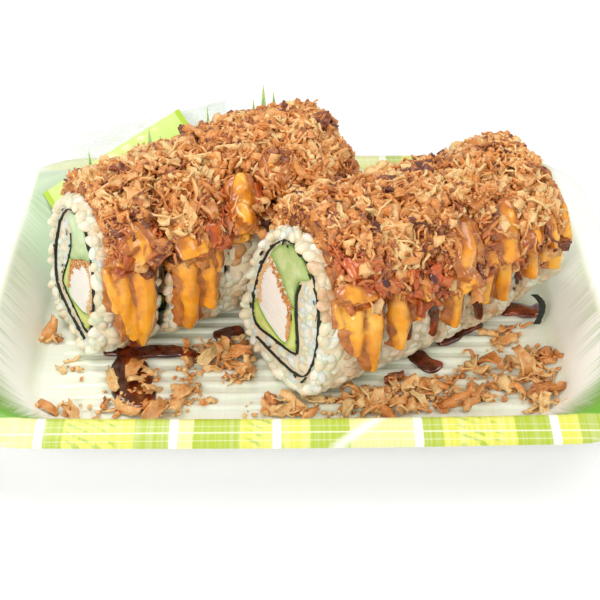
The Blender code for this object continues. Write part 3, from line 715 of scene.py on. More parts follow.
def sauce_finish():
    look = settings("sauce")
    made = Finish("brown_sauce", Coat_Weight=1.0, Coat_Roughness=0.04)
    cloud = made.noise(120, 4, 0.6)
    shade = made.ramp(cloud, [(0.30, darker(look.brown, 0.35)), (0.50, look.brown),
                              (0.72, blend(look.brown, (0.60, 0.09, 0.012), 0.65))])
    return made.paint(shade, 0.12, made.bump(cloud, 0.0004, 0.5))


# Tray
BASE = (0.0790, 0.0470, 0.017, 0.0)
WALL_FOOT = (0.0815, 0.0497, 0.018, 0.0012)
WALL_HEAD = (0.0937, 0.0672, 0.021, 0.0176)
RIM_UNDER = (0.1008, 0.0733, 0.0255, 0.0168)
RIM_EDGE = (0.1020, 0.0745, 0.0262, 0.0179)
RIM_OUTER = (0.1014, 0.0739, 0.0259, 0.0190)
RIM_INNER = (0.0925, 0.0660, 0.0200, 0.0200)
WALL_TOP = (0.0905, 0.0635, 0.0195, 0.0183)
WALL_LOW = (0.0812, 0.0497, 0.0175, 0.0034)
FLOOR = (0.0785, 0.0465, 0.0160, 0.0020)
SIDE_BOW = 0.0014
CORNER_STEPS = 14
SIDE_STEPS = 24
RIB_COUNT = 17
RIB_HALF = 0.0765
RIB_HALF_WIDTH = 0.0015
RIB_FOOT = 0.0003       # how far the ribs reach into the floor
RIB_STATIONS = 40
RIB_ARCS = 8
# The rim's print from left to right: where each block ends, in metres, and its colour
# The pale blocks are partly print and partly painted highlight, in the colour of the rim's glare-lit stretches.
PRINT_BLOCKS = [(-0.0693, "pale"), (-0.0642, "lime"), (-0.0451, "yellow"), (-0.0345, "lime"),
                (-0.0291, "pale"), (-0.0165, "lime"), (0.0024, "yellow"), (0.0132, "lime"), (0.0330, "pale"),
                (0.0384, "lime"), (0.0584, "yellow"), (0.0690, "lime"), (0.0760, "yellow"), (0.0900, "lime")]
PRINT_STRIPES = [-0.0707, -0.0344, -0.0065, 0.0318, 0.0692]
BRUSH_PATCHES = [(-0.0640, -0.0490), (-0.0145, -0.0050), (0.0415, 0.0540)]
STRIPE_HALF = 0.0012
RIM_LINES = [(0.0700, 0.00025, 0.6), (0.0727, 0.0002, 0.3), (0.0678, 0.0002, 0.2)]    # place, half width, share
RIM_START_X = 0.0912
RIM_START_Y = 0.0640
MITRE = 0.0275          # where the end walls meet the side walls: distance from the middle, long less short


def tray_line(size):
    """The closed line round the tray: rounded corners and sides that bow out a little."""
    half_x, half_y, radius, height = size
    points = []
    for corner in range(4):
        centre = Vector(((1 if corner in (0, 3) else -1) * (half_x - radius),
                         (1 if corner in (0, 1) else -1) * (half_y - radius)))
        for step in range(CORNER_STEPS + 1):
            angle = math.pi / 2 * (corner + step / CORNER_STEPS)
            points.append(centre + Vector((math.cos(angle), math.sin(angle))) * radius)
    line = []
    for index, point in enumerate(points):
        after = points[(index + 1) % len(points)]
        steps = SIDE_STEPS if (after - point).length > 0.02 else 1
        for step in range(steps):
            spot = point.lerp(after, step / steps)
            bow_x = -SIDE_BOW * (spot.y / half_y) ** 2 * spot.x / half_x
            bow_y = -SIDE_BOW * (spot.x / half_x) ** 2 * spot.y / half_y
            line.append(Vector((spot.x + bow_x, spot.y + bow_y, height)))
    return line


def between(first, second, share, lift=0.0):
    return tuple(a + (b - a) * share for a, b in zip(first, second))[:3] + (
        first[3] + (second[3] - first[3]) * share + lift,)


def block_print(made, x, y):
    """The rim: print blocks of colour with brush strokes and stripes, fine pale lines, and painted highlights on a
    diagonal band and the end rims.
    """
    look = settings("tray")
    wander = made.scale_add(made.noise(60, 2), 0.0008, made.plus(x, -0.0004))
    shade = look.pale
    for (edge, _), (_, kind) in zip(PRINT_BLOCKS, PRINT_BLOCKS[1:]):
        shade = made.mix(made.step(wander, edge, 0.0002), shade, getattr(look, kind))
    slant = made.math("SINE", made.times(made.plus(x, made.times(y, 1.9)), 1150.0))
    for low, high in BRUSH_PATCHES:
        strokes = made.times(made.grey(slant, 0.15, 0.6), made.band(x, low, high, 0.0012))
        strokes = made.times(strokes, made.grey(made.noise(330, 2), 0.40, 0.55))
        shade = made.mix(strokes, shade, blend(look.lime, look.leaf, 0.35), 0.75)
    # Painted highlight: a diagonal band of glare across the rim, painted near white.
    painted_glare = made.plus(x, made.times(y, -1.2))
    shade = made.mix(made.band(painted_glare, 0.0975, 0.1015, 0.0014), shade, look.stripe, 0.75)
    for stripe in PRINT_STRIPES:
        shade = made.mix(made.band(x, stripe - STRIPE_HALF, stripe + STRIPE_HALF), shade, look.stripe, 0.85)
    shade = made.mix(made.streaks((1100.0, 14.0, 14.0), 0.45, 0.62), shade, look.stripe, 0.16)
    # Painted highlight: the end rims are painted near white for the glare that blows them out.
    shade = made.mix(made.step(made.size_of(x), 0.0905, 0.0030), shade, bleached(look.stripe, 0.4))
    for line, half, share in RIM_LINES:
        shade = made.mix(made.band(made.size_of(y), line - half, line + half, 0.0001), shade,
                         look.stripe, share)
    return shade


def tray_finish():
    """Printed foam: blocks on the rim, fine lines down the walls, green corners, a white outside, and walls
    painted whiter as painted light.
    """
    look = settings("tray")
    made = Finish("printed_foam", Coat_Weight=0.12, Coat_Roughness=0.25)
    x, y, z = (made.axis(name) for name in "XYZ")
    across, depth = made.size_of(x), made.size_of(y)
    ends = made.step(made.math("SUBTRACT", across, depth), MITRE, 0.0040)
    lines = made.mix(ends, made.streaks((900.0, 22.0, 22.0), 0.42, 0.60),
                     made.streaks((22.0, 900.0, 22.0), 0.42, 0.60))
    inner = made.mix(lines, look.skin, look.stripe, 0.45)
    inner = made.mix(made.streaks((70.0, 3.0, 3.0), 0.35, 0.65, 1, 0.5), inner,
                     blend(look.skin, look.lime, 0.35), 0.30)
    # Painted light: above the floor the walls are painted whiter, to make up for the light the steep walls miss.
    inner = made.mix(made.step(z, 0.0050, 0.0020), inner, bleached(look.stripe, 0.5), 0.75)
    corner = made.plus(made.grey(across, 0.0640, 0.0930), made.grey(depth, 0.0370, 0.0640))
    corner = made.scale_add(lines, 0.20, corner)
    corner = made.times(made.grey(corner, 0.88, 1.46), made.step(z, 0.0045, 0.0040))
    # The corners at the back are fainter
    corner = made.times(corner, made.scale_add(made.step(y, 0.0, 0.0200), -0.55, 1.0))
    inner = made.mix(corner, inner, look.leaf)
    rim = made.most(made.step(depth, RIM_START_Y, 0.0004), made.step(across, RIM_START_X, 0.0004))
    rim = made.times(rim, made.step(z, 0.0174, 0.0004))
    shade = made.mix(rim, inner, block_print(made, x, y))
    normal = made.node("NewGeometry").outputs["Normal"]
    facing = made.most(made.step(made.axis("Z", normal), -0.15, 0.05), made.step(z, 0.0176, 0.0003))
    shade = made.mix(facing, bleached(look.stripe, 0.4), shade)
    foam = made.noise(1400, 3)
    return made.paint(shade, made.scale_add(foam, 0.15, 0.28), made.bump(foam, 0.00015, 0.5))


class URAMAKI_OT_tray(bpy.types.Operator):
    """Models the foam tray with its ribs and print"""
    bl_idname = "uramaki.tray"
    bl_label = "Tray"

    def execute(self, context):
        look = settings("tray")
        sizes = [BASE, between(BASE, WALL_FOOT, 0.6, -0.0003), WALL_FOOT, between(WALL_FOOT, WALL_HEAD, 0.5),
                 WALL_HEAD, RIM_UNDER, between(RIM_UNDER, RIM_EDGE, 0.7, -0.0002), RIM_EDGE,
                 between(RIM_EDGE, RIM_OUTER, 0.6, 0.0002), RIM_OUTER, between(RIM_OUTER, RIM_INNER, 0.5),
                 between(RIM_OUTER, RIM_INNER, 0.92), RIM_INNER, between(RIM_INNER, WALL_TOP, 0.5, 0.0003),
                 WALL_TOP, between(WALL_TOP, WALL_LOW, 0.33), between(WALL_TOP, WALL_LOW, 0.66),
                 between(WALL_TOP, WALL_LOW, 0.93), WALL_LOW, between(WALL_LOW, FLOOR, 0.6, -0.0003), FLOOR]
        bm = bmesh.new()
        close_rings(bm, [[bm.verts.new(point) for point in tray_line(size)] for size in sizes])
        for number in range(RIB_COUNT):
            self.rib(bm, (number - (RIB_COUNT - 1) / 2) * look.rib_pitch, look.rib_height)
        tray = finish_object("tray_body", bm, tray_finish(), crease=50)
        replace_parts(tray, "tray")
        return {"FINISHED"}

    def rib(self, bm, y, height):
        """A long rounded rib that dies into the floor at its ends."""
        past = max(0.0, abs(y) - (FLOOR[1] - FLOOR[2]))
        half = min(RIB_HALF, FLOOR[0] - FLOOR[2] + math.sqrt(FLOOR[2] ** 2 - past ** 2) - 0.0030)
        rings = []
        for station in range(RIB_STATIONS + 1):
            share = station / RIB_STATIONS
            x = (2 * share - 1) * half
            ends = min(1.0, 9 * min(share, 1 - share)) ** 0.5 * (1 + 0.10 * wobble((x, y, 0), 0.011))
            turns = [math.pi * step / RIB_ARCS for step in range(RIB_ARCS + 1)]
            rings.append([bm.verts.new((
                x, y - math.cos(turn) * RIB_HALF_WIDTH,
                FLOOR[3] - RIB_FOOT + (height + RIB_FOOT) * math.sin(turn) ** 0.8 * ends)) for turn in turns])
        close_rings(bm, rings)


# Rice
def grain_masters():
    """Three cooked grains: plump, slightly bent and blunt at both ends."""
    look = settings("rice")
    masters = []
    for number in range(3):
        deselect()
        bpy.ops.mesh.primitive_uv_sphere_add(segments=8, ring_count=6, radius=0.5)
        grain = bpy.context.object
        for point in grain.data.vertices:
            x, y, z = point.co.z, point.co.x, point.co.y
            full = (1 - (2 * x) ** 4) ** 0.25 if abs(x) < 0.5 else 0.0
            swell = 1.0 + 0.18 * full + 0.10 * math.sin(5 * x + number)
            bend = (0.10, -0.14, 0.05)[number] * (1 - (2 * x) ** 2)
            point.co = ((x + 0.03 * y) * look.grain_length, (y * swell + bend) * look.grain_width,
                        z * swell * look.grain_width * 0.92)
        masters.append(grab_mesh(grain))
    return masters


def soak_of(space, point):
    """How much brown sauce has soaked into the rice at a point."""
    offset = point - space.start
    place = offset.dot(along_roll())
    tilt = math.degrees(math.atan2(offset.dot(across_roll()), offset.z))
    run = wobble((place, 0.0, 0.0), 0.0062, 3.0 if space.roll == "a" else 8.0)
    fine = wobble(point, 0.0040, 5.0)
    hem = max(0.0, 1 - abs(tilt - 66) / 34)
    dry = 0.45 if tilt < 24 or place < 0.0030 else 0.0
    return clamp(0.38 + 0.60 * run + 0.40 * fine + 0.30 * hem - dry)


OPEN_TOPS = ("a1", "b1")     # slices whose heap starts behind their first cut
HEAP_TILTS = (-36, 38)       # degrees from the top between which the heap hides the rice
CUT_SOAK = 0.10              # how much of the outside's sauce shows at a cut
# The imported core's rings: share of the slice's length, inset, and 1 or -1 where a ring lies behind a cut
CORE_RINGS = [(0.0, 0.0020, 1), (0.03, 0.0012, 0), (0.5, 0.0007, 0), (0.97, 0.0012, 0), (1.0, 0.0020, -1)]


def side_grains(piece, space, rng):
    """Grains bedded in a slice's outside, in uneven rows round it."""
    look = settings("rice")
    ring = piece.outline(160)
    lengths = [0.0]
    for first, second in zip(ring, ring[1:] + ring[:1]):
        lengths.append(lengths[-1] + (second - first).length)
    rows = max(3, round(piece.length / look.spacing))
    found = []
    for row in range(rows + 1):
        depth = row / rows
        count = round(lengths[-1] / (look.spacing * 1.25))
        for number in range(count):
            want = (number + rng.uniform(-0.35, 0.35) + 0.5 * (row % 2)) % count / count * lengths[-1]
            index = min(next(i for i, value in enumerate(lengths) if value >= want), len(ring)) - 1
            spot = ring[index % len(ring)]
            tilt = math.degrees(math.atan2(spot.x, spot.y))
            if HEAP_TILTS[0] < tilt < HEAP_TILTS[1] and not (piece.name in OPEN_TOPS and depth < 0.45):
                continue
            at_rim = depth in (0.0, 1.0)
            inset = look.grain_width * 0.46 + rng.uniform(-0.0001, 0.0004) + (0.0007 if at_rim else 0.0)
            share = min(max(depth + rng.uniform(-0.3, 0.3) / rows, 0.05), 0.95)
            before, after = ring[(index - 1) % len(ring)], ring[(index + 1) % len(ring)]
            tangent = (after - before).normalized()
            flat_out = Vector((tangent.y, -tangent.x))
            spot = spot - flat_out * inset
            place = piece.point(share, spot.x, spot.y)
            edge = piece.point(share, spot.x + tangent.x * 0.001, spot.y + tangent.y * 0.001)
            round_way = (edge - place).normalized()
            along = (piece.far.point(spot.x, spot.y) - piece.near.point(spot.x, spot.y)).normalized()
            out = round_way.cross(along).normalized()
            if out.dot(piece.point(share, spot.x + flat_out.x, spot.y + flat_out.y) - place) < 0:
                out.negate()
            if place.z < ROLL_BASE_Z + look.grain_width * 0.55 and out.z < -0.5:
                continue
            turn = rng.uniform(-1.6, 1.6)
            lie = along * math.cos(turn) + round_way * math.sin(turn) + out * rng.uniform(-0.22, 0.22)
            grow = rng.uniform(0.72, 1.12)
            found.append((rng.randrange(3), axes(lie.normalized(), out) * grow, place,
                          rng.uniform(0.22, 0.74), soak_of(space, place)))
    return found


def cut_grains(piece, space, end, rng):
    """Grains that the knife has cut flush with a cut face."""
    look = settings("rice")
    cut, into = piece.face(end)
    rim = piece.outline(60, 0.0019)
    line = piece.warp(NORI_LINE)
    turn_inside = line[:NORI_INNER_TURN + 1]
    found = []
    pitch = look.spacing * 0.74
    steps = int(HALF_WIDTH * 2.3 / pitch)
    for column in range(-steps // 2, steps // 2 + 1):
        for row in range(-steps // 2, steps // 2 + 1):
            spot = Vector((column + rng.uniform(-0.35, 0.35), row + rng.uniform(-0.35, 0.35))) * pitch
            if not inside(spot, rim) or inside(spot, turn_inside) or line_distance(spot, line) < 0.0015:
                continue
            turn = rng.uniform(0, math.pi)
            lie = cut.side * math.cos(turn) + cut.up * math.sin(turn) + into * rng.uniform(-0.5, 0.5)
            place = cut.point(spot.x, spot.y) + into * (look.grain_width * rng.uniform(0.44, 0.56))
            found.append((rng.randrange(3), axes(lie.normalized(), -into) * rng.uniform(0.75, 1.0), place,
                          rng.choice((rng.uniform(0.05, 0.30), rng.uniform(0.88, 1.0))),
                          CUT_SOAK * soak_of(space, place)))
    return found


def slice_core(bm, piece):
    """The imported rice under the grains, a little inside them."""
    rings = []
    for share, inset, inward in CORE_RINGS:
        depth = share + (0.0007 / piece.length) * inward
        rings.append([bm.verts.new(piece.point(depth, spot.x, spot.y)) for spot in piece.outline(48, inset)])
    close_rings(bm, rings)


class URAMAKI_OT_rice(bpy.types.Operator):
    """Models the rice of both rolls grain by grain over its packed core"""
    bl_idname = "uramaki.rice"
    bl_label = "Rice"

    def execute(self, context):
        look = settings("rice")
        masters = grain_masters()
        finish = rice_finish()
        inner = core_finish("packed_rice", look.ivory, blend(look.ivory, look.stained, 0.22))
        for roll in "ab":
            space = RollSpace(roll)
            rng = random.Random(ord(roll) + 40)
            spots = []
            bm = bmesh.new()
            for piece in slices_of(roll):
                slice_core(bm, piece)
                spots += side_grains(piece, space, rng)
                for end in piece.shown:
                    spots += cut_grains(piece, space, end, rng)
            core = finish_object(f"rice_core_{roll}", bm, inner)
            grains = join_copies(f"rice_grains_{roll}", masters, spots, finish)
            names = rice_names(roll)
            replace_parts(core, *names)
            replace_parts(grains, *names)
        return {"FINISHED"}


# Fillings
RIND_WIDTH = 0.0013     # how far the greener rind colour reaches in
NORI_HALF = 0.00016     # half the sheet's thickness at a cut
TORN_BITS = 34          # at each cut
CRUMBS_A_STEP = 6


def filling_body(bm, piece, outline, end, rind):
    """A filling between its slice's cuts; the "soak" of a point at the shown cut says how near the rind is."""
    layer = bm.verts.layers.float.get("soak") or bm.verts.layers.float.new("soak")
    smooth = smooth_loop(piece.warp(outline), 5)
    rings = [[bm.verts.new(piece.point(depth, spot.x, spot.y)) for spot in smooth]
             for depth in (float(end), 1.0 - end)]
    for point in rings[0] + rings[1]:
        point[layer] = 1.0 if rind else 0.0
    spots = [point.co.copy() for point in rings[0]]
    pairs = list(zip(rings[0], rings[1]))
    for (low, high), (after, above) in zip(pairs, pairs[1:] + pairs[:1]):
        bm.faces.new((low, after, above, high))
    cut_face, far_face = bm.faces.new(rings[0][::-1]), bm.faces.new(rings[1])
    for face in (cut_face, far_face):
        face.normal_update()
    bmesh.ops.triangulate(bm, faces=[far_face], ngon_method="EAR_CLIP")
    cap = set(bmesh.ops.triangulate(bm, faces=[cut_face], ngon_method="EAR_CLIP")["faces"])
    chords = {edge for face in cap for edge in face.edges if cap.issuperset(edge.link_faces)}
    added = bmesh.ops.subdivide_edges(bm, edges=list(chords), cuts=3, use_grid_fill=True)["geom_inner"]
    for point in added if rind else ():
        if isinstance(point, bmesh.types.BMVert):
            distance = min((point.co - spot).length for spot in spots)
            point[layer] = max(0.0, 1 - distance / RIND_WIDTH)


def nori_sheet(bm, piece, end):
    """The seaweed sheet at a shown cut: a thin wavy band that stands out a little, unevenly."""
    line = smooth_loop(piece.warp(NORI_LINE), 8, closed=False)
    cut, into = piece.face(end)
    depth = piece.length * 0.5
    rings = []
    for index, spot in enumerate(line):
        along = (line[min(index + 1, len(line) - 1)] - line[max(index - 1, 0)]).normalized()
        side = left_of(along)
        spot = spot + side * 0.00022 * wobble((spot.x, spot.y, 0), 0.0021, 7.0)
        thick = NORI_HALF * (1 + 0.75 * wobble((spot.x, spot.y, 0), 0.0013, 1.0))
        proud = -0.00018 - 0.00022 * wobble((spot.x, spot.y, 0), 0.0011, 4.0)
        ring = []
        for shift, deep in ((-1, depth), (-1, proud), (1, proud), (1, depth)):
            flat = spot + side * thick * shift
            ring.append(bm.verts.new(cut.point(flat.x, flat.y) + into * deep))
        rings.append(ring)
    close_rings(bm, rings)


def torn_bits(piece, end, rng, count):
    """Small torn bits of seaweed smeared beside its line by the knife."""
    line = smooth_loop(piece.warp(NORI_LINE), 8, closed=False)
    cut, into = piece.face(end)
    found = []
    for _ in range(count):
        index = rng.randrange(2, len(line) - 2)
        along = (line[index + 1] - line[index - 1]).normalized()
        spot = line[index] + left_of(along) * rng.gauss(0, 0.0010) + along * rng.uniform(-0.001, 0.001)
        lie = cut.side * along.x + cut.up * along.y
        turn = rng.gauss(0, 0.5)
        lie = (lie * math.cos(turn) + into.cross(lie) * math.sin(turn)).normalized()
        sizes = (rng.uniform(0.0007, 0.0024), rng.uniform(0.0004, 0.0011), 0.0002)
        bit_turn = axes(lie, -into) @ Matrix.Diagonal(sizes)
        found.append((rng.randrange(2), bit_turn,
                      cut.point(spot.x, spot.y) + into * rng.uniform(-0.0004, 0.0001), 0.5, 0.0))
    return found


def lump_masters(count, rough, detail):
    """Uneven lumps about one metre across, which are scaled down where they go."""
    masters = []
    for number in range(count):
        deselect()
        bpy.ops.mesh.primitive_ico_sphere_add(subdivisions=detail, radius=0.5)
        lump = bpy.context.object
        long = 1.0 + 0.25 * (number % 3)
        for point in lump.data.vertices:
            spot = point.co * (1 + rough * wobble(point.co, 0.45, 11.0 * number + 1))
            point.co = (spot.x * long, spot.y, spot.z / long)
        masters.append(grab_mesh(lump))
    return masters


# The crumb coat lies along these stretches of the chicken's outline: points, width and tints
COAT_STRETCHES = [(0, 4, 0.0021, (0.0, 0.7)), (9, 12, 0.0017, (0.9, 1.0)), (4, 5, 0.0009, (0.4, 0.8))]


def coat_crumbs(piece, end, rng):
    """Fried crumbs packed along the browned sides of the chicken."""
    cut, into = piece.face(end)
    section = piece.warp(CHICKEN)
    middle = sum(section, Vector((0, 0))) / len(section)
    found = []
    for first, last, width, tints in COAT_STRETCHES:
        line = smooth_loop([section[index % len(section)] for index in range(first, last + 1)], 8, closed=False)
        for spot in line:
            for _ in range(CRUMBS_A_STEP):
                inward = (middle - spot).normalized()
                flat = spot + inward * rng.uniform(0.0, width)
                flat += Vector((rng.gauss(0, 0.0003), rng.gauss(0, 0.0003)))
                size = rng.uniform(0.0006, 0.0014)
                tip, spin = (Matrix.Rotation(rng.uniform(0, 6.28), 3, axis) for axis in "XZ")
                found.append((rng.randrange(4), tip @ spin * size,
                              cut.point(flat.x, flat.y) + into * (size * 0.35 + rng.uniform(-0.0002, 0.0002)),
                              rng.uniform(*tints), 0.0))
    return found


class URAMAKI_OT_fillings(bpy.types.Operator):
    """Models chicken, avocado, cucumber and seaweed at the cuts that show"""
    bl_idname = "uramaki.fillings"
    bl_label = "Fillings"

    def execute(self, context):
        look = settings("filling")
        finishes = {
            "nori": nori_finish(), "chicken": meat_finish(),
            "avocado": flesh_finish("avocado_flesh", look.avocado, look.avocado_edge, 190),
            "cucumber": flesh_finish("cucumber_flesh", look.cucumber, look.cucumber_skin, 240, 0.4, 0.6)}
        for name, node in NODES.items():
            kind = name.split("_")[-1]
            if kind in finishes:
                node.data.materials[0] = finishes[kind]
        crumbs, bits = [], []
        rng = random.Random(17)
        for kind, outline in (("chicken", CHICKEN), ("avocado", AVOCADO), ("cucumber", CUCUMBER)):
            for roll in "ab":
                bm = bmesh.new()
                shown = [piece for piece in slices_of(roll) if piece.shown]
                for piece in shown:
                    filling_body(bm, piece, outline, piece.shown[0], kind != "chicken")
                made = finish_object(f"{kind}_{roll}", bm, finishes[kind], crease=40)
                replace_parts(made, *(f"{piece.name}_{kind}" for piece in shown))
        for roll in "ab":
            bm = bmesh.new()
            shown = [piece for piece in slices_of(roll) if piece.shown]
            for piece in shown:
                for end in piece.shown:
                    nori_sheet(bm, piece, end)
                    bits += torn_bits(piece, end, rng, TORN_BITS)
                    crumbs += coat_crumbs(piece, end, rng)
            made = finish_object(f"nori_{roll}", bm, finishes["nori"])
            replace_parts(made, *(f"{piece.name}_nori" for piece in shown))
        lumps = lump_masters(4, 0.5, 2)
        join_copies("nori_bits", lumps[:2], bits, finishes["nori"])
        join_copies("chicken_crumbs", lumps, crumbs, crumb_finish())
        return {"FINISHED"}


# Crispy onions
HEAP_RISE = 0.0022          # how far a flake may stand out of the CAD heap
THINNEST, DEEPEST = 0.0002, 0.0140    # what counts as heap between its outside and the rice
CUT_SPARE = 0.0012          # how far sauce stays behind the end cuts
CUT_MARGIN = {"a": 0.0026, "b": 0.0020}    # bare rice left in front of the heap at the first cut
FAR_MARGIN = 0.0006
CRUST_TILTS = (-62, 84)     # degrees from the top that the crust and the flakes reach
FLAKE_TILTS = (-66, 88)
BARE_ON_RIBBON = 0.82       # share of the flakes left out on an open ribbon, and where it is wet
BARE_WHERE_WET = 0.35
TRIES = 5                   # places tried for each flake


def curled_strips(count, seed, cells, sizes, widths):
    """Curled slivers of fried onion, each bent, twisted, crumpled and torn in its own way."""
    masters = []
    for number in range(count):
        rng = random.Random(seed + number)
        deselect()
        bpy.ops.mesh.primitive_grid_add(x_subdivisions=cells[0], y_subdivisions=cells[1], size=1.0)
        strip = bpy.context.object
        size, width = rng.uniform(*sizes), rng.uniform(*widths)
        curl, bend, twist = rng.uniform(0.6, 2.6), rng.uniform(-2.2, 2.4), rng.uniform(-2.2, 2.2)
        wave = rng.uniform(0.0003, 0.0009)
        torn = [rng.uniform(-0.40, 0.25) for _ in range(2 * cells[0] + 2)]
        for point in strip.data.vertices:
            u, v = point.co.x + 0.5, point.co.y * 2
            taper = 0.28 + 0.72 * math.sin(math.pi * (0.10 + 0.80 * u)) ** 0.7
            edge = 1 + torn[round(u * cells[0]) + (cells[0] + 1 if v > 0 else 0)] * abs(v)
            half = width / 2 * taper * edge
            turn = v * curl * 0.5
            y = half * math.sin(turn) / (curl * 0.5)
            z = half * (1 - math.cos(turn)) / (curl * 0.5) * 1.7 + wave * math.sin(u * 8 + number)
            roll = twist * (u - 0.5)
            y, z = y * math.cos(roll) - z * math.sin(roll), y * math.sin(roll) + z * math.cos(roll)
            x = (u - 0.5) * size
            if abs(bend) > 0.2:
                reach, lean = size / bend, bend * (u - 0.5)
                x, z = math.sin(lean) * (reach - z), reach - math.cos(lean) * (reach - z)
            spot = Vector((x, y, z))
            # Three plain values, because noise_vector gives others each time Blender starts
            crumple = Vector([wobble(spot, 0.0022, number * 3.1 + shift) for shift in (1.0, 5.0, 9.0)])
            point.co = spot + crumple * 0.00080
        thick = strip.modifiers.new("Thickness", "SOLIDIFY")
        thick.thickness = rng.uniform(0.00040, 0.00065)
        thick.offset = 0.0
        apply_modifiers(strip)
        masters.append(grab_mesh(strip))
    return masters


def any_turn(rng, out, spread):
    """A turn that lies along a surface, tipped at random by about the spread."""
    along, tip = (Vector([rng.gauss(0, share) for _ in range(3)]) for share in (1, spread))
    tipped = (out + tip).normalized()
    if rng.random() < 0.5:
        tipped = -tipped
    return axes(along.normalized(), tipped)


# Runs of sauce down the rolls: place along the roll in millimetres, degrees from the top, width in millimetres
MM = 0.001
MAYONNAISE = {
    "a": [[(13.0, 36, 5.0), (13.6, 48, 7.0), (13.6, 62, 7.4), (13.8, 84, 8.0), (13.0, 106, 6.4), (12.4, 128, 3.6)],
          [(6.6, 52, 3.0), (7.2, 66, 4.6), (7.4, 86, 5.4), (8.0, 104, 4.4), (8.8, 120, 2.4)],
          [(2.6, 50, 2.4), (3.6, 72, 2.4), (4.0, 92, 1.8)],
          [(27.0, 50, 7.0), (27.6, 62, 7.4), (27.8, 84, 6.4), (27.6, 106, 6.8), (27.8, 124, 4.4)],
          [(31.0, 54, 5.0), (33.6, 70, 4.2), (34.4, 90, 4.8), (34.6, 112, 3.8)],
          [(39.0, 62, 2.6), (38.6, 84, 2.0)],
          [(50.0, 27, 4.2), (48.4, 38, 5.6), (46.8, 52, 6.2), (46.4, 68, 4.4)],
          [(61.0, 20, 3.0), (60.0, 34, 4.0), (59.6, 46, 3.0)]],
    "b": [[(8.6, 46, 5.6), (9.4, 58, 7.6), (9.8, 72, 6.4), (10.4, 84, 4.6), (10.8, 98, 3.0)],
          [(13.6, 54, 4.6), (15.6, 70, 5.4), (16.6, 90, 6.4), (16.6, 106, 5.0), (17.0, 118, 2.6)],
          [(5.0, 56, 2.2), (5.6, 74, 1.8)],
          [(25.2, 62, 3.0), (26.0, 78, 5.2), (26.4, 94, 4.6), (25.8, 108, 3.2)],
          [(32.8, 60, 2.4), (33.0, 76, 2.6), (32.6, 92, 1.8)],
          [(51.0, 31, 4.6), (49.4, 44, 6.0), (47.6, 56, 5.6), (46.8, 74, 5.4), (46.6, 96, 4.4), (46.4, 110, 2.6)],
          [(57.0, 48, 2.6), (58.0, 66, 4.4), (58.2, 84, 4.6), (58.0, 102, 2.8)],
          [(66.4, 28, 4.2), (65.4, 40, 5.0), (64.4, 52, 5.0), (64.6, 68, 6.0), (65.0, 88, 5.4), (65.0, 106, 3.4)],
          [(73.4, 42, 3.6), (73.8, 56, 4.8), (75.6, 76, 5.4), (76.4, 98, 4.6)],
          [(81.0, 46, 3.0), (81.4, 66, 3.6), (81.8, 86, 2.6)],
          [(87.0, 28, 3.6), (87.4, 46, 4.6), (86.6, 62, 5.2), (85.8, 80, 5.0), (85.6, 98, 3.6)]],
}
BROWN_RUNS = {
    "a": [[(18.6, 50, 3.0), (18.6, 74, 2.2), (18.4, 100, 1.6), (18.2, 126, 1.6)],
          [(8.8, 112, 2.0), (9.6, 130, 2.6)], [(36.6, 60, 2.2), (37.2, 88, 1.8), (37.0, 116, 1.8)],
          [(23.6, 58, 1.6), (24.0, 84, 1.4), (24.2, 112, 1.6)], [(42.6, 52, 2.8), (42.8, 72, 1.8)]],
    "b": [[(20.0, 50, 3.4), (20.2, 70, 2.4), (20.0, 92, 1.8), (20.2, 116, 1.6)],
          [(12.6, 50, 4.6), (12.8, 60, 3.0)], [(29.4, 62, 2.4), (29.8, 84, 2.0), (30.2, 110, 1.8)],
          [(36.8, 56, 3.6), (38.4, 76, 3.0), (39.6, 98, 2.6), (40.6, 118, 2.8)],
          [(53.6, 60, 2.6), (54.6, 84, 2.4), (56.4, 104, 2.2), (57.6, 120, 2.4)],
          [(71.6, 60, 2.6), (72.2, 84, 2.2), (73.0, 104, 2.0)]],
}
# Where brown sauce has soaked the onions
RED_RUNS = {
    "a": [[(9.6, 46, 2.6), (10.0, 56, 3.6), (10.2, 66, 2.6)], [(20.4, 42, 3.0), (21.0, 54, 3.4), (20.6, 66, 2.4)],
          [(36.4, 48, 3.6), (37.6, 60, 4.0), (38.0, 72, 2.6)], [(43.0, 40, 3.0), (43.6, 54, 3.6), (44.0, 66, 2.6)],
          [(54.6, 34, 2.6), (54.2, 46, 3.0)]],
    "b": [[(10.2, 34, 2.4), (11.6, 44, 4.6), (13.4, 56, 4.4), (14.0, 66, 2.6)], [(17.8, 44, 2.8), (19.0, 60, 3.0)],
          [(23.6, 54, 3.0), (23.0, 68, 3.2), (22.6, 84, 2.2)], [(30.0, 50, 3.0), (30.6, 62, 3.2), (30.2, 78, 2.0)],
          [(37.0, 52, 3.2), (38.4, 66, 3.6), (39.4, 84, 2.4)], [(54.4, 46, 2.4), (54.8, 60, 3.0)],
          [(70.4, 48, 2.4), (70.8, 62, 3.0), (71.4, 78, 2.2)]],
}
OPEN_TILT = 34          # ribbons that start nearer the top than this lie bare on the heap, in degrees
TILT_SCALE = 0.016      # the heap's outside as a flat sheet: metres for each radian round the roll


def flat_runs(runs):
    """Runs of sauce as lines on a flat sheet, each with its width."""
    return [([Vector((place * MM, math.radians(tilt) * TILT_SCALE)) for place, tilt, _ in run],
             max(width for _, _, width in run[:2]) * MM) for run in runs]


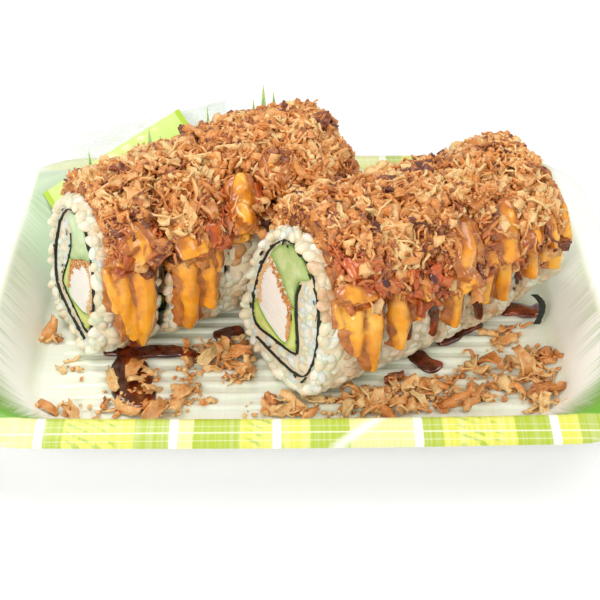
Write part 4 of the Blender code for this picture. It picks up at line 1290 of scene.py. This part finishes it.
class Heap:
    """The heap on one roll: its outside is the CAD heap's, which the flakes cover."""

    def __init__(self, roll):
        self.roll = roll
        self.space = RollSpace(roll)
        self.outer = node_tree(f"onions_{roll}")
        self.rice = node_tree(*rice_names(roll))
        self.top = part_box(f"onions_{roll}")[1].z
        self.rng = random.Random(ord(roll) + 7)
        slices = slices_of(roll)
        self.first, self.last = slices[0].near, slices[-1].far
        self.red_runs = flat_runs(RED_RUNS[roll])
        self.ribbons = flat_runs(run for run in MAYONNAISE[roll] if run[0][1] < OPEN_TILT)

    def level(self, place, tilt):
        """The outside of the heap and of the rice under it, or nothing where there is no heap."""
        outer = self.space.hit(self.outer, place, tilt)
        rice = self.space.hit(self.rice, place, tilt)
        if outer is None or rice is None or not THINNEST < outer - rice < DEEPEST:
            return None, rice
        return outer, rice

    def within(self, place, tilt):
        """The place along the roll, kept between the first and the last cut at this tilt."""
        for cut, way in ((self.first, 1), (self.last, -1)):
            spare = (self.space.at(place, tilt, HALF_WIDTH) - cut.middle).dot(cut.into) * way - CUT_SPARE
            if spare < 0:
                place -= way * spare / along_roll().dot(cut.into)
        return place

    def hollow(self, place, tilt):
        """How deep the heap dips between its clumps and towards the first cut."""
        dip = 0.0034 * max(0.0, 0.15 - wobble(self.space.at(place, tilt, 0.03), 0.0058, 4.0))
        return dip + 0.0026 * max(0.0, 1 - place / 0.0095) + 0.0018 * self.wet(place, tilt)

    def near_run(self, runs, place, tilt):
        """How near a place is to a run of sauce: 1 on its middle line, 0 well beside it."""
        spot = Vector((place, tilt * TILT_SCALE))
        return clamp(max(1.25 - line_distance(spot, line) / width for line, width in runs))

    def wet(self, place, tilt):
        """How wet with brown sauce the heap is at a place."""
        return self.near_run(self.red_runs, place, tilt)

    def core(self, bm):
        """A rough crust under the flakes, from hem to hem."""
        stations, arcs = 130, 52
        tops, lows = {}, {}
        for i in range(stations + 1):
            place = self.space.length * i / stations
            for j in range(arcs + 1):
                tilt = math.radians(CRUST_TILTS[0] + (CRUST_TILTS[1] - CRUST_TILTS[0]) * j / arcs)
                found = [self.level(place + shift, tilt + turn)[0]
                         for shift, turn in ((0, 0), (-0.0012, 0), (0.0012, 0), (-0.0034, 0), (0.0034, 0),
                                             (0, -0.10), (0, 0.10))]
                rice = self.level(place, tilt)[1]
                if None in found:
                    continue
                uneven = 0.0008 * wobble(self.space.at(place, tilt, 0.03), 0.0018) - self.hollow(place, tilt)
                level = max(min(found[:3]) - 0.0018 + uneven, rice + 0.0004)
                tops[i, j] = bm.verts.new(self.space.at(place, tilt, level))
                lows[i, j] = bm.verts.new(self.space.at(place, tilt, max(rice - 0.0006, level - 0.0040)))
        edges = set()
        for i in range(stations):
            for j in range(arcs):
                keys = [(i, j), (i + 1, j), (i + 1, j + 1), (i, j + 1)]
                if all(key in tops for key in keys):
                    bm.faces.new([tops[key] for key in keys])
                    bm.faces.new([lows[key] for key in reversed(keys)])
                    edges.update(zip(keys, keys[1:] + keys[:1]))
        for first, second in edges:
            if (second, first) not in edges:
                bm.faces.new((tops[second], tops[first], lows[first], lows[second]))
        loose = [point for point in bm.verts if not point.link_faces]
        bmesh.ops.delete(bm, geom=loose, context="VERTS")

    def keep_in(self, shape, turn, spot, outer):
        """Moves a flake so that it stays in the heap, behind the first cut and before the last."""
        points = shape @ np.array(turn).T + np.array(spot)
        offset = points - np.array(self.space.start)
        along = along_roll()
        reach = np.sqrt(np.maximum((offset ** 2).sum(axis=1) - (offset @ np.array(along)) ** 2, 0.0)).max()
        if reach > outer + HEAP_RISE:
            out = spot - self.space.start
            out = (out - along * out.dot(along)).normalized()
            spot = spot - out * (reach - outer - HEAP_RISE)
        spot.z -= max(0.0, points[:, 2].max() - self.top + 0.0002)
        ragged = 0.0012 * self.rng.random() + 0.0016 * max(0.0, wobble(spot, 0.0045, 12.0))
        for cut, way, margin in ((self.first, 1, CUT_MARGIN[self.roll] + ragged), (self.last, -1, FAR_MARGIN)):
            depth = (((points - np.array(cut.middle)) @ np.array(cut.into)) * way).min()
            if depth < margin:
                spot = spot + cut.into * way * (margin - depth)
        return spot

    def spots(self, masters, count, spread, sink, sizes):
        """Where pieces of one kind lie: on the heap's outside, tipped every way."""
        found = []
        for _ in range(count * TRIES):
            if len(found) == count:
                break
            place = self.rng.uniform(0.0, self.space.length)
            tilt = math.radians(self.rng.uniform(*FLAKE_TILTS))
            outer, rice = self.level(place, tilt)
            if outer is None:
                continue
            wet = self.wet(place, tilt)
            open_ribbon = self.near_run(self.ribbons, place, tilt) > 0.70
            bare = BARE_ON_RIBBON if open_ribbon else BARE_WHERE_WET * wet
            if self.rng.random() < bare:
                continue
            hollow = self.hollow(place, tilt)
            depth = max(outer - self.rng.uniform(*sink) - hollow, rice + 0.0006)
            spot = self.space.at(place, tilt, depth)
            patch = 0.60 + 0.44 * wobble(spot, 0.010, 3.0) + self.rng.gauss(0.03, 0.24)
            # Soak: brown sauce where wet, random tone, darker further down the front side and lighter towards the
            # back, and painted shade (the hollow term) in the heap's dips.
            soak = (0.75 * wobble(spot, 0.008, 9.0) + 0.4 * (math.degrees(tilt) - 42) / 50 + 0.05
                    + 1.1 * wet + 130 * hollow)
            turn = any_turn(self.rng, self.space.direction(tilt), spread) * self.rng.uniform(*sizes)
            master = self.rng.randrange(len(masters))
            spot = self.keep_in(masters[master][0], turn, spot, outer)
            found.append((master, turn, spot, clamp(patch), clamp(soak)))
        return found


# Patches of loose flakes on the floor: middle, half sizes, slant and number of flakes
LOOSE_PATCHES = [
    (0.0470, -0.0350, 0.0320, 0.0080, 0.20, 60), (0.0250, -0.0400, 0.0200, 0.0050, 0.05, 26),
    (0.0740, -0.0300, 0.0060, 0.0160, 0.00, 16), (-0.0040, -0.0430, 0.0140, 0.0030, 0.00, 12),
    (-0.0480, -0.0430, 0.0240, 0.0036, 0.10, 15), (-0.0500, -0.0320, 0.0070, 0.0060, 0.30, 10),
    (-0.0260, -0.0190, 0.0100, 0.0070, 0.30, 18), (-0.0320, -0.0330, 0.0050, 0.0050, 0.00, 5),
    (-0.0180, -0.0270, 0.0060, 0.0050, 0.00, 8), (-0.0770, -0.0095, 0.0030, 0.0016, 0.00, 4),
    (-0.0690, -0.0240, 0.0050, 0.0050, 0.00, 2), (0.0640, -0.0120, 0.0120, 0.0040, 0.50, 8),
]


class URAMAKI_OT_onions(bpy.types.Operator):
    """Heaps crispy onion flakes and crumbs over both rolls and scatters some on the floor"""
    bl_idname = "uramaki.onions"
    bl_label = "Crispy onions"

    def execute(self, context):
        look = settings("onion")
        finish = onion_finish()
        inner = core_finish("onion_crust", blend(look.brown, look.golden, 0.75), darker(look.brown, 0.6), 420)
        flakes = curled_strips(18, 500, (6, 2), (0.0070, 0.0150), (0.0030, 0.0066))
        shreds = curled_strips(12, 700, (5, 1), (0.0040, 0.0092), (0.0009, 0.0018))
        crumbs = lump_masters(6, 0.9, 1)
        share = 1.0
        # Name, shapes, number, spread, how deep they sink and size; then the loose ones' share and size
        kinds = (
            ("flakes", flakes, look.flakes, 0.48, (0.0002, 0.0026), (0.75, 1.12), 0.62, (0.52, 0.92)),
            ("shreds", shreds, look.shreds, 0.55, (0.0000, 0.0018), (0.75, 1.10), 0.8, (0.6, 1.0)),
            ("crumbs", crumbs, look.crumbs, 1.00, (-0.0004, 0.0020), (0.0006, 0.0024), 3.0, (0.0006, 0.0020)))
        for roll in "ab":
            heap = Heap(roll)
            bm = bmesh.new()
            heap.core(bm)
            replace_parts(finish_object(f"onion_crust_{roll}", bm, inner), f"onions_{roll}")
            for kind, masters, count, spread, sink, sizes, _, _ in kinds:
                spots = heap.spots(masters, int(count * share), spread, sink, sizes)
                laid = join_copies(f"onion_{kind}_{roll}", masters, spots, finish)
                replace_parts(laid, f"onions_{roll}")
        for kind, masters, _, _, _, _, many, sizes in kinds:
            made = join_copies(f"loose_{kind}", masters, self.loose(masters, many, sizes), finish)
            if kind == "flakes":
                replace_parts(made, "tray")
        return {"FINISHED"}

    def loose(self, masters, many, sizes):
        rng = random.Random(71 + len(masters))
        rice = node_tree(*(f"{piece.name}_rice" for piece in SLICES))
        tray = mesh_tree(bpy.data.objects["tray_body"].data)
        found = []
        for x, y, half_x, half_y, slant, count in LOOSE_PATCHES:
            for _ in range(int(count * many)):
                shift = max(-1.2, min(1.2, rng.gauss(0, 0.55)))
                spot = Vector((x + half_x * shift, y + half_y * rng.uniform(-1, 1) + half_x * shift * slant,
                               RAY_START))
                spot.z = tray.ray_cast(spot, -UP)[0].z
                if spot.z > 0.0060 or rice.find_nearest(spot)[3] < 0.0030:
                    continue
                master = rng.randrange(len(masters))
                turn = any_turn(rng, UP, 0.34) * rng.uniform(*sizes)
                points = masters[master][0] @ np.array(turn).T
                spot.z += rng.uniform(0.0, 0.0006) - points[:, 2].min() * 0.75
                found.append((master, turn, spot, clamp(rng.gauss(0.76, 0.20)),
                              clamp(rng.gauss(0.05, 0.2), 0.6)))
        return found


# Pools on the floor: chains of (x, y, radius) in millimetres
POOLS = [
    [(-61.0, -17.0, 1.4), (-55.5, -16.2, 2.0), (-49.0, -16.8, 2.2), (-43.0, -16.4, 2.4), (-37.0, -16.6, 2.0),
     (-32.5, -18.8, 2.0), (-31.4, -22.0, 1.6)],
    [(-53.0, -17.5, 3.2), (-52.5, -23.0, 4.4), (-51.0, -28.5, 5.0), (-50.0, -34.0, 5.2), (-47.4, -38.6, 4.2),
     (-45.6, -43.0, 2.6)],
    [(-27.0, -9.5, 1.8), (-22.0, -7.8, 2.4), (-17.2, -5.8, 1.8)],
    [(36.4, -17.4, 2.2), (38.0, -21.0, 2.6), (41.0, -25.2, 2.4), (43.6, -22.0, 1.8)],
    [(43.6, -12.6, 2.0), (47.6, -11.4, 2.2), (51.0, -8.4, 2.0), (56.0, -5.0, 1.8), (59.6, -3.2, 1.6)],
    [(67.0, 1.0, 1.8), (70.4, 4.0, 2.6), (74.6, 2.6, 2.8), (78.0, 2.2, 2.0), (79.6, 6.2, 1.6)],
]
SKIN_VOXEL = 0.00042
RING_STEPS = 14         # points round a run or a pool


def run_down(bm, heap, line, height, rng):
    """A run of sauce that hugs the heap and the rice, with rounded ends and a full foot."""
    space = heap.space
    stations = smooth_loop([Vector(spot) for spot in line], 9, closed=False)
    last = len(stations) - 1
    sway = rng.uniform(0, 9)
    rings = []
    for index, (place, tilt, width) in enumerate(stations):
        share = index / last
        ends = min(1.0, share / 0.10, (1 - share) / 0.07)
        ends = math.sqrt(max(0.20, 1 - (1 - ends) ** 2))
        tilt = math.radians(tilt)
        drift = 0.0007 * wobble((share * 3.2, sway, 0.0), 0.9)
        half = (width + 0.8) * MM / 2 * ends * (1 + 0.45 * wobble((share * 5.4, sway, 5.0), 0.8))
        full = height * ends * (0.85 + 0.35 * share + 0.25 * wobble((share * 6.0, sway, 2.0), 0.8))
        ring = []
        for step in range(RING_STEPS):
            turn = 2 * math.pi * step / RING_STEPS
            spot = heap.within(place * MM + drift + math.cos(turn) * half, tilt)
            outer, rice = heap.level(min(max(spot, 0.0008), space.length - 0.0008), tilt)
            ground = max((outer or 0.0) - 0.0004, rice or HALF_WIDTH * 0.94)
            lift = math.sin(turn)
            lift = full * lift ** 0.8 if lift > 0 else -0.0011 * (-lift) ** 0.7
            ring.append(bm.verts.new(space.at(spot, tilt, ground + lift)))
        rings.append(ring)
    close_rings(bm, rings)


def pool(bm, chain, rng):
    """A puddle that lies over the ribs: a flat, rounded worm along a chain of circles."""
    sway = rng.uniform(0, 9)
    stations = smooth_loop([Vector(spot) * MM for spot in chain], 7, closed=False)
    last = len(stations) - 1
    rings = []
    for index, (x, y, radius) in enumerate(stations):
        ahead, behind = stations[min(index + 1, last)], stations[max(index - 1, 0)]
        side = left_of((ahead - behind).xy.normalized())
        share = index / last
        ends = math.sqrt(max(0.10, 1 - (1 - min(1.0, share / 0.12, (1 - share) / 0.12)) ** 2))
        ring = []
        for step in range(RING_STEPS):
            turn = 2 * math.pi * step / RING_STEPS
            rag = 1.22 + 0.30 * wobble((x * 300 + math.cos(turn), y * 300, sway), 0.8)
            flat = Vector((x, y)) + side * math.cos(turn) * radius * ends * rag
            lift = math.sin(turn)
            lift = 0.0011 * ends * lift ** 0.45 if lift > 0 else -0.0007 * (-lift) ** 0.5
            ring.append(bm.verts.new((flat.x, flat.y, FLOOR[3] + 0.0007 + lift)))
        rings.append(ring)
    close_rings(bm, rings)


def melt(name, bm, finish, rounds):
    """Lets overlapping runs flow into one smooth body."""
    made = finish_object(name, bm, finish)
    skin = made.modifiers.new("Skin", "REMESH")
    skin.mode = "VOXEL"
    skin.voxel_size = SKIN_VOXEL
    skin.use_smooth_shade = True
    soft = made.modifiers.new("Soften", "SMOOTH")
    soft.factor = 0.5
    soft.iterations = rounds
    apply_modifiers(made)
    return made


class URAMAKI_OT_sauces(bpy.types.Operator):
    """Runs orange mayonnaise and brown sauce down the slices and over the floor"""
    bl_idname = "uramaki.sauces"
    bl_label = "Sauces"

    def execute(self, context):
        look = settings("sauce")
        rng = random.Random(23)
        orange, brown = ribbon_finish(), sauce_finish()
        amber, red = glaze_finish("amber_glaze", look.amber), glaze_finish("red_glaze", look.red)
        for roll in "ab":
            heap = Heap(roll)
            for name, runs, height, finish, wider in (
                    ("mayonnaise", MAYONNAISE, look.ribbon_height, orange, 0.0),
                    ("glaze", MAYONNAISE, look.run_height * 1.5, amber, 3.2),
                    ("wet_patches", RED_RUNS, look.run_height, red, 0.0),
                    ("sauce_runs", BROWN_RUNS, look.run_height, brown, 0.0)):
                bm = bmesh.new()
                for line in runs[roll]:
                    line = [(place, tilt, width + wider) for place, tilt, width in line]
                    run_down(bm, heap, line, height, rng)
                made = melt(f"{name}_{roll}", bm, finish, 4)
                if finish is orange:
                    self.thickness(made, roll)
        bm = bmesh.new()
        for chain in POOLS:
            pool(bm, chain, rng)
        melt("sauce_pools", bm, brown, 3)
        return {"FINISHED"}

    def thickness(self, made, roll):
        """Writes on each point how thick the sauce is there: 1 where it is full."""
        ground = node_tree(f"onions_{roll}", *rice_names(roll))
        full = settings("sauce").ribbon_height
        values = [min(1.0, ground.find_nearest(point.co)[3] / full) for point in made.data.vertices]
        made.data.attributes.new("thick", "FLOAT", "POINT").data.foreach_set("value", values)


# Garnish and wrapping
TUFT = [(-0.0076, 0.0086), (-0.0038, 0.0042), (0.0, 0.0), (0.0036, 0.0040), (0.0072, 0.0090)]
TUFT_START = 0.0175
TUFT_PITCH = 0.0208
TUFT_COUNT = 4
GRASS_START = 0.0060
GRASS_END = 0.0838
GRASS_HEIGHT = 0.0470
GRASS_VALLEY = 0.0140
GRASS_FOOT_Z = 0.0026
GRASS_RISE = 0.112
GRASS_OFFSET = 0.0245
GRASS_THICKNESS = 0.0003
BLADE_STEPS = 8         # columns from a tip to the next valley
SACHET_TOP = ((-0.0880, 0.0505, 0.0184), (-0.0405, 0.0680, 0.0418))
SACHET_DOWN = (0.533, -0.667, -0.517)
SACHET_DEPTH = 0.0275
SACHET_BULGE = 0.0022
SACHET_EDGE = 0.0006
SACHET_MARK = (0.72, 0.42, 0.13)     # the round mark's place along and down, and its radius
FILM_LOW = ((-0.0912, 0.0600, 0.0207), (-0.0225, 0.0702, 0.0207))
FILM_HIGH = ((-0.0928, 0.0620, 0.0307), (-0.0242, 0.0728, 0.0425))
FILM_THICKNESS = 0.0004
SCRAP_TOP = (0.0768, 0.0030, 0.0090)
SCRAP_DROP = 0.0052
SCRAP_REACH = 0.0085


def sheet(steps_u, steps_v, place):
    """A closed thin sheet. Its points carry their place on it as the values "along" and "down"."""
    bm = bmesh.new()
    along = bm.verts.layers.float.new("along")
    down = bm.verts.layers.float.new("down")
    layers = []
    for layer in (0, 1):
        rows = []
        for j in range(steps_v + 1):
            row = []
            for i in range(steps_u + 1):
                u, v = i / steps_u, j / steps_v
                point = bm.verts.new(place(u, v, layer))
                point[along], point[down] = u, 1 - v
                row.append(point)
            rows.append(row)
        layers.append(rows)
    for rows in layers:
        for first, second in zip(rows, rows[1:]):
            for a, b, c, d in zip(first, first[1:], second[1:], second):
                bm.faces.new((a, b, c, d))
    front, back = layers
    rim = ([(0, i) for i in range(steps_u)] + [(j, steps_u) for j in range(steps_v)]
           + [(steps_v, i) for i in range(steps_u, 0, -1)] + [(j, 0) for j in range(steps_v, 0, -1)])
    for (j, i), (m, n) in zip(rim, rim[1:] + rim[:1]):
        bm.faces.new((front[j][i], front[m][n], back[m][n], back[j][i]))
    return bm


def grass_tops():
    """The cut line of the grass: tips and the valleys after them, along the strip."""
    marks = [(GRASS_START, 0.0)]
    for tuft in range(TUFT_COUNT):
        for place, drop in TUFT:
            tip = TUFT_START + TUFT_PITCH * tuft + place
            if tip < GRASS_END:
                marks += [(tip, GRASS_HEIGHT - drop), (tip + 0.0019, GRASS_VALLEY)]
    return marks + [(marks[-1][0] + 0.0004, 0.0)]


def grass_strip():
    """Plastic grass: slim blades with hollow sides, each leaning a little its own way."""
    marks = grass_tops()
    columns = []
    for (start, low), (end, high) in zip(marks, marks[1:]):
        for step in range(BLADE_STEPS):
            share = step / BLADE_STEPS
            rise = share ** 0.55 if high > low else 1 - (1 - share) ** 0.55
            columns.append((start + (end - start) * share, low + (high - low) * rise))
    columns.append(marks[-1])
    foot = Vector((*ROLLS["a"]["start"], 0)) - across_roll() * GRASS_OFFSET

    def place(u, v, layer):
        spot, top = columns[round(u * (len(columns) - 1))]
        height = max(top, 0.0004) * v
        wave = (0.0003 * math.sin(spot * 420) + height * 0.008
                + 0.00035 * (height / GRASS_HEIGHT) ** 2 * math.sin(spot * 1700))
        return (foot + along_roll() * spot + UP * (GRASS_FOOT_Z + GRASS_RISE * spot + height)
                - across_roll() * (wave + layer * GRASS_THICKNESS))

    return sheet(len(columns) - 1, 10, place)


def grass_finish():
    """Shiny green plastic, teal and darker towards its foot, with fine upright ribs."""
    look = settings("garnish")
    made = Finish("plastic_grass", Coat_Weight=0.3, Coat_Roughness=0.2, Subsurface_Weight=0.6,
                  Subsurface_Scale=0.0030)
    ribs = made.noise(1.0, 2, 0.5, made.scaled((1500.0, 1500.0, 60.0)))
    shade = made.ramp(made.attribute("down"), [(0.0, blend(look.grass, (0.55, 0.85, 0.30), 0.35)),
                                               (0.30, look.grass), (0.62, look.teal)])
    patch = made.grey(made.noise(60, 1), 0.56, 0.64)
    shade = made.mix(patch, shade, look.teal, 0.8)
    shade = made.mix(made.grey(ribs, 0.40, 0.80), shade, blend(look.grass, (0.80, 1.0, 0.70), 0.5))
    return made.paint(shade, 0.28, made.bump(ribs, 0.0002, 0.5))


def sachet_body():
    """A small filled sachet with flat crimped ends and a few pulled creases."""
    left, right = (Vector(corner) for corner in SACHET_TOP)
    down = Vector(SACHET_DOWN).normalized()
    out = down.cross(right - left).normalized()

    def place(u, v, layer):
        inner_u, inner_v = clamp((u - 0.07) / 0.86), clamp((v - 0.05) / 0.90)
        swell = (math.sin(math.pi * inner_u) * math.sin(math.pi * inner_v)) ** 0.55
        crease = 0.00035 * wobble((u * 5.0 + 0.8 * v, v * 2.2, 3.0), 0.8) * min(1.0, 2.5 * swell)
        crease += 0.00022 * math.sin(60 * u + 6 * v) * (1 - min(1.0, 2.0 * swell)) * min(1.0, 6 * inner_v)
        flat_end = not 0.07 < u < 0.93
        crimp = 0.00008 * math.sin(u * 520) * flat_end
        half = (SACHET_EDGE * (0.6 if flat_end else 1.0) + SACHET_BULGE * swell) / 2
        spot = left.lerp(right, u) + down * (1 - v) * SACHET_DEPTH
        return spot + out * ((half if layer else -half) + crease + crimp)

    return sheet(96, 48, place)


def sachet_finish():
    """Lime foil, paler towards the top, with darker crimped ends, a fine band and one round orange mark. It bears
    no words.
    """
    look = settings("garnish")
    made = Finish("sachet_foil", Coat_Weight=0.7, Coat_Roughness=0.12)
    along, down = made.attribute("along"), made.attribute("down")
    shade = made.mix(made.grey(down, 0.0, 1.0), blend(look.sachet, (1, 1, 0.7), 0.35), look.sachet)
    place, drop, radius = SACHET_MARK
    off_x = made.times(made.plus(along, -place), 1.9)
    off_y = made.plus(down, -drop)
    far = made.math("SQRT", made.plus(made.times(off_x, off_x),
                                      made.times(off_y, off_y)))
    shade = made.mix(made.band(far, -1.0, radius, 0.012), shade, look.mark)
    shade = made.mix(made.band(far, radius * 0.45, radius * 0.62, 0.012), shade, bleached(look.mark, 0.7))
    shade = made.mix(made.band(down, 0.80, 0.86, 0.01), shade, (0.95, 0.98, 0.80))
    ends = made.most(made.band(along, -1.0, 0.035, 0.004), made.band(along, 0.965, 2.0, 0.004))
    shade = made.mix(ends, shade, darker(look.sachet, 0.85))
    return made.paint(shade, 0.25, made.bump(made.noise(260, 3), 0.0004, 0.5))


def film_body():
    """The clear bag behind the sachet, crumpled."""
    low_left, low_right = (Vector(corner) for corner in FILM_LOW)
    high_left, high_right = (Vector(corner) for corner in FILM_HIGH)
    out = (low_right - low_left).cross(high_left - low_left).normalized()
    if out.y < 0:
        out.negate()

    def place(u, v, layer):
        flat = low_left.lerp(low_right, u).lerp(high_left.lerp(high_right, u), v)
        ripple = 0.0006 * math.sin(7 * u + 2 * v) * v
        crumple = 0.0007 * v * (abs(wobble((u * 9, v * 2.5, 1.0), 0.9)) - 0.25)
        crumple += 0.0003 * v * wobble((u * 24, v * 7, 5.0), 0.8)
        sag = UP * (-0.0006 * abs(wobble((u * 8, 0.0, 8.0), 0.7)) * v)
        return flat + out * (ripple + crumple + layer * FILM_THICKNESS * 0.5) + sag

    return sheet(130, 26, place)


def film_finish():
    made = Finish("clear_film", Coat_Weight=0.8, Coat_Roughness=0.05, IOR=1.45)
    cloud = made.noise(120, 3, 0.5)
    alpha = made.scale_add(made.grey(cloud, 0.45, 0.85), 0.25, 0.22)
    return made.paint((0.95, 0.97, 0.96), 0.10, made.bump(cloud, 0.0006, 0.4), alpha)


def scrap_body():
    """A narrow curl of seaweed that hangs out by the last slice."""
    top = Vector(SCRAP_TOP)

    def place(u, v, layer):
        curve = 0.0020 * math.sin(math.pi * u)
        rag = 0.0002 * wobble((u * 12, v * 3, layer), 0.9)
        return top + Vector((curve + 0.0020 * (v - 0.5) * (1 + 0.25 * wobble((u * 9, 0, 0), 0.8)) + rag,
                             -SCRAP_REACH * (1 - u), 0.0004 * layer - SCRAP_DROP * (1 - u) ** 2 + rag * 0.5))

    return sheet(28, 6, place)


class URAMAKI_OT_garnish(bpy.types.Operator):
    """Models the plastic grass, the sachet, the clear bag and the loose seaweed"""
    bl_idname = "uramaki.garnish"
    bl_label = "Garnish"

    def execute(self, context):
        for name, bm, finish, slot in (
                ("grass", grass_strip(), grass_finish(), "grass"),
                ("sachet", sachet_body(), sachet_finish(), "sachet"),
                ("film", film_body(), film_finish(), "film"),
                ("nori_scrap", scrap_body(), nori_finish(), "nori")):
            made = finish_object(f"{name}_piece", bm, finish, crease=55)
            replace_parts(made, name)
        return {"FINISHED"}


# Stage
CAMERA_PLACE = (-0.0045, -0.3040, 0.2476)
CAMERA_LOOK_DOWN = 38.0
CAMERA_YAW = -1.0
CAMERA_ROLL = 0.25
LIGHT_TARGET = (0.0, 0.0, 0.02)
SKY_STRENGTH = 0.66
# Area lights: place, size, watts and colour
LIGHTS = [
    ((-0.30, 0.28, 0.75), 0.45, 2.4, (1.0, 0.985, 0.96)),
    ((0.55, 0.00, 0.60), 0.45, 1.5, (1.0, 0.99, 0.97)),
    ((-0.40, -0.65, 0.45), 0.50, 3.4, (1.0, 0.99, 0.98)),
]


class URAMAKI_OT_stage(bpy.types.Operator):
    """Sets the floor, the soft lights and the camera"""
    bl_idname = "uramaki.stage"
    bl_label = "Stage"

    def execute(self, context):
        look = settings("stage")
        deselect()
        bpy.ops.mesh.primitive_plane_add(size=4.0)
        floor = context.object
        floor.name = "table"
        made = Finish("table", Roughness=0.6)
        floor.data.materials.append(made.paint(tuple(look.floor)))
        for number, (place, size, watts, shade) in enumerate(LIGHTS):
            deselect()
            bpy.ops.object.light_add(type="AREA", location=place)
            lamp = context.object
            lamp.name = f"light_{number}"
            lamp.rotation_euler = (Vector(LIGHT_TARGET) - Vector(place)).to_track_quat("-Z", "Y").to_euler()
            lamp.data.shape = "DISK"
            lamp.data.size = size
            lamp.data.energy = watts
            lamp.data.color = shade
        world = bpy.data.worlds.new("studio")
        world.use_nodes = True
        sky = world.node_tree.nodes["Background"]
        sky.inputs["Color"].default_value = (1, 1, 1, 1)
        sky.inputs["Strength"].default_value = SKY_STRENGTH
        context.scene.world = world
        context.scene.view_settings.view_transform = "Standard"
        self.camera(context, look.lens)
        return {"FINISHED"}

    def camera(self, context, lens):
        down, turn, roll = (math.radians(value) for value in (CAMERA_LOOK_DOWN, CAMERA_YAW, CAMERA_ROLL))
        ahead = Vector((-math.sin(turn) * math.cos(down), math.cos(turn) * math.cos(down), -math.sin(down)))
        right = ahead.cross(UP).normalized()
        up = right.cross(ahead)
        right, up = (math.cos(roll) * right + math.sin(roll) * up, math.cos(roll) * up - math.sin(roll) * right)
        place = Matrix((right, up, -ahead)).transposed().to_4x4()
        place.translation = Vector(CAMERA_PLACE)
        deselect()
        bpy.ops.object.camera_add()
        camera = context.object
        camera.name = "camera"
        camera.data.lens = lens
        camera.data.sensor_width = 36.0
        camera.data.clip_start = 0.01
        camera.matrix_world = place
        context.scene.camera = camera


class URAMAKI_PT_panel(bpy.types.Panel):
    """Lists the steps and their settings"""
    bl_idname = "URAMAKI_PT_panel"
    bl_label = "Uramaki Tray"
    bl_space_type = "VIEW_3D"
    bl_region_type = "UI"
    bl_category = "Uramaki"

    def draw(self, context):
        for step in STEPS:
            self.layout.operator(step.bl_idname)
        for kind, group in SETTINGS.items():
            box = self.layout.box()
            box.label(text=kind.capitalize())
            for name in group.__annotations__:
                box.prop(settings(kind), name)


STEPS = (URAMAKI_OT_tray, URAMAKI_OT_rice, URAMAKI_OT_fillings, URAMAKI_OT_onions, URAMAKI_OT_sauces,
         URAMAKI_OT_garnish, URAMAKI_OT_stage)
CLASSES = (*SETTINGS.values(), *STEPS, URAMAKI_PT_panel)


def register():
    for kind in CLASSES:
        bpy.utils.register_class(kind)
    for name, group in SETTINGS.items():
        setattr(bpy.types.Scene, f"uramaki_{name}", PointerProperty(type=group))


def unregister():
    for name in SETTINGS:
        delattr(bpy.types.Scene, f"uramaki_{name}")
    for kind in reversed(CLASSES):
        bpy.utils.unregister_class(kind)


def main():
    register()
    bpy.ops.uramaki.tray()
    bpy.ops.uramaki.rice()
    bpy.ops.uramaki.fillings()
    bpy.ops.uramaki.onions()
    bpy.ops.uramaki.sauces()
    bpy.ops.uramaki.garnish()
    bpy.ops.uramaki.stage()


if __name__ == "__main__":
    main()
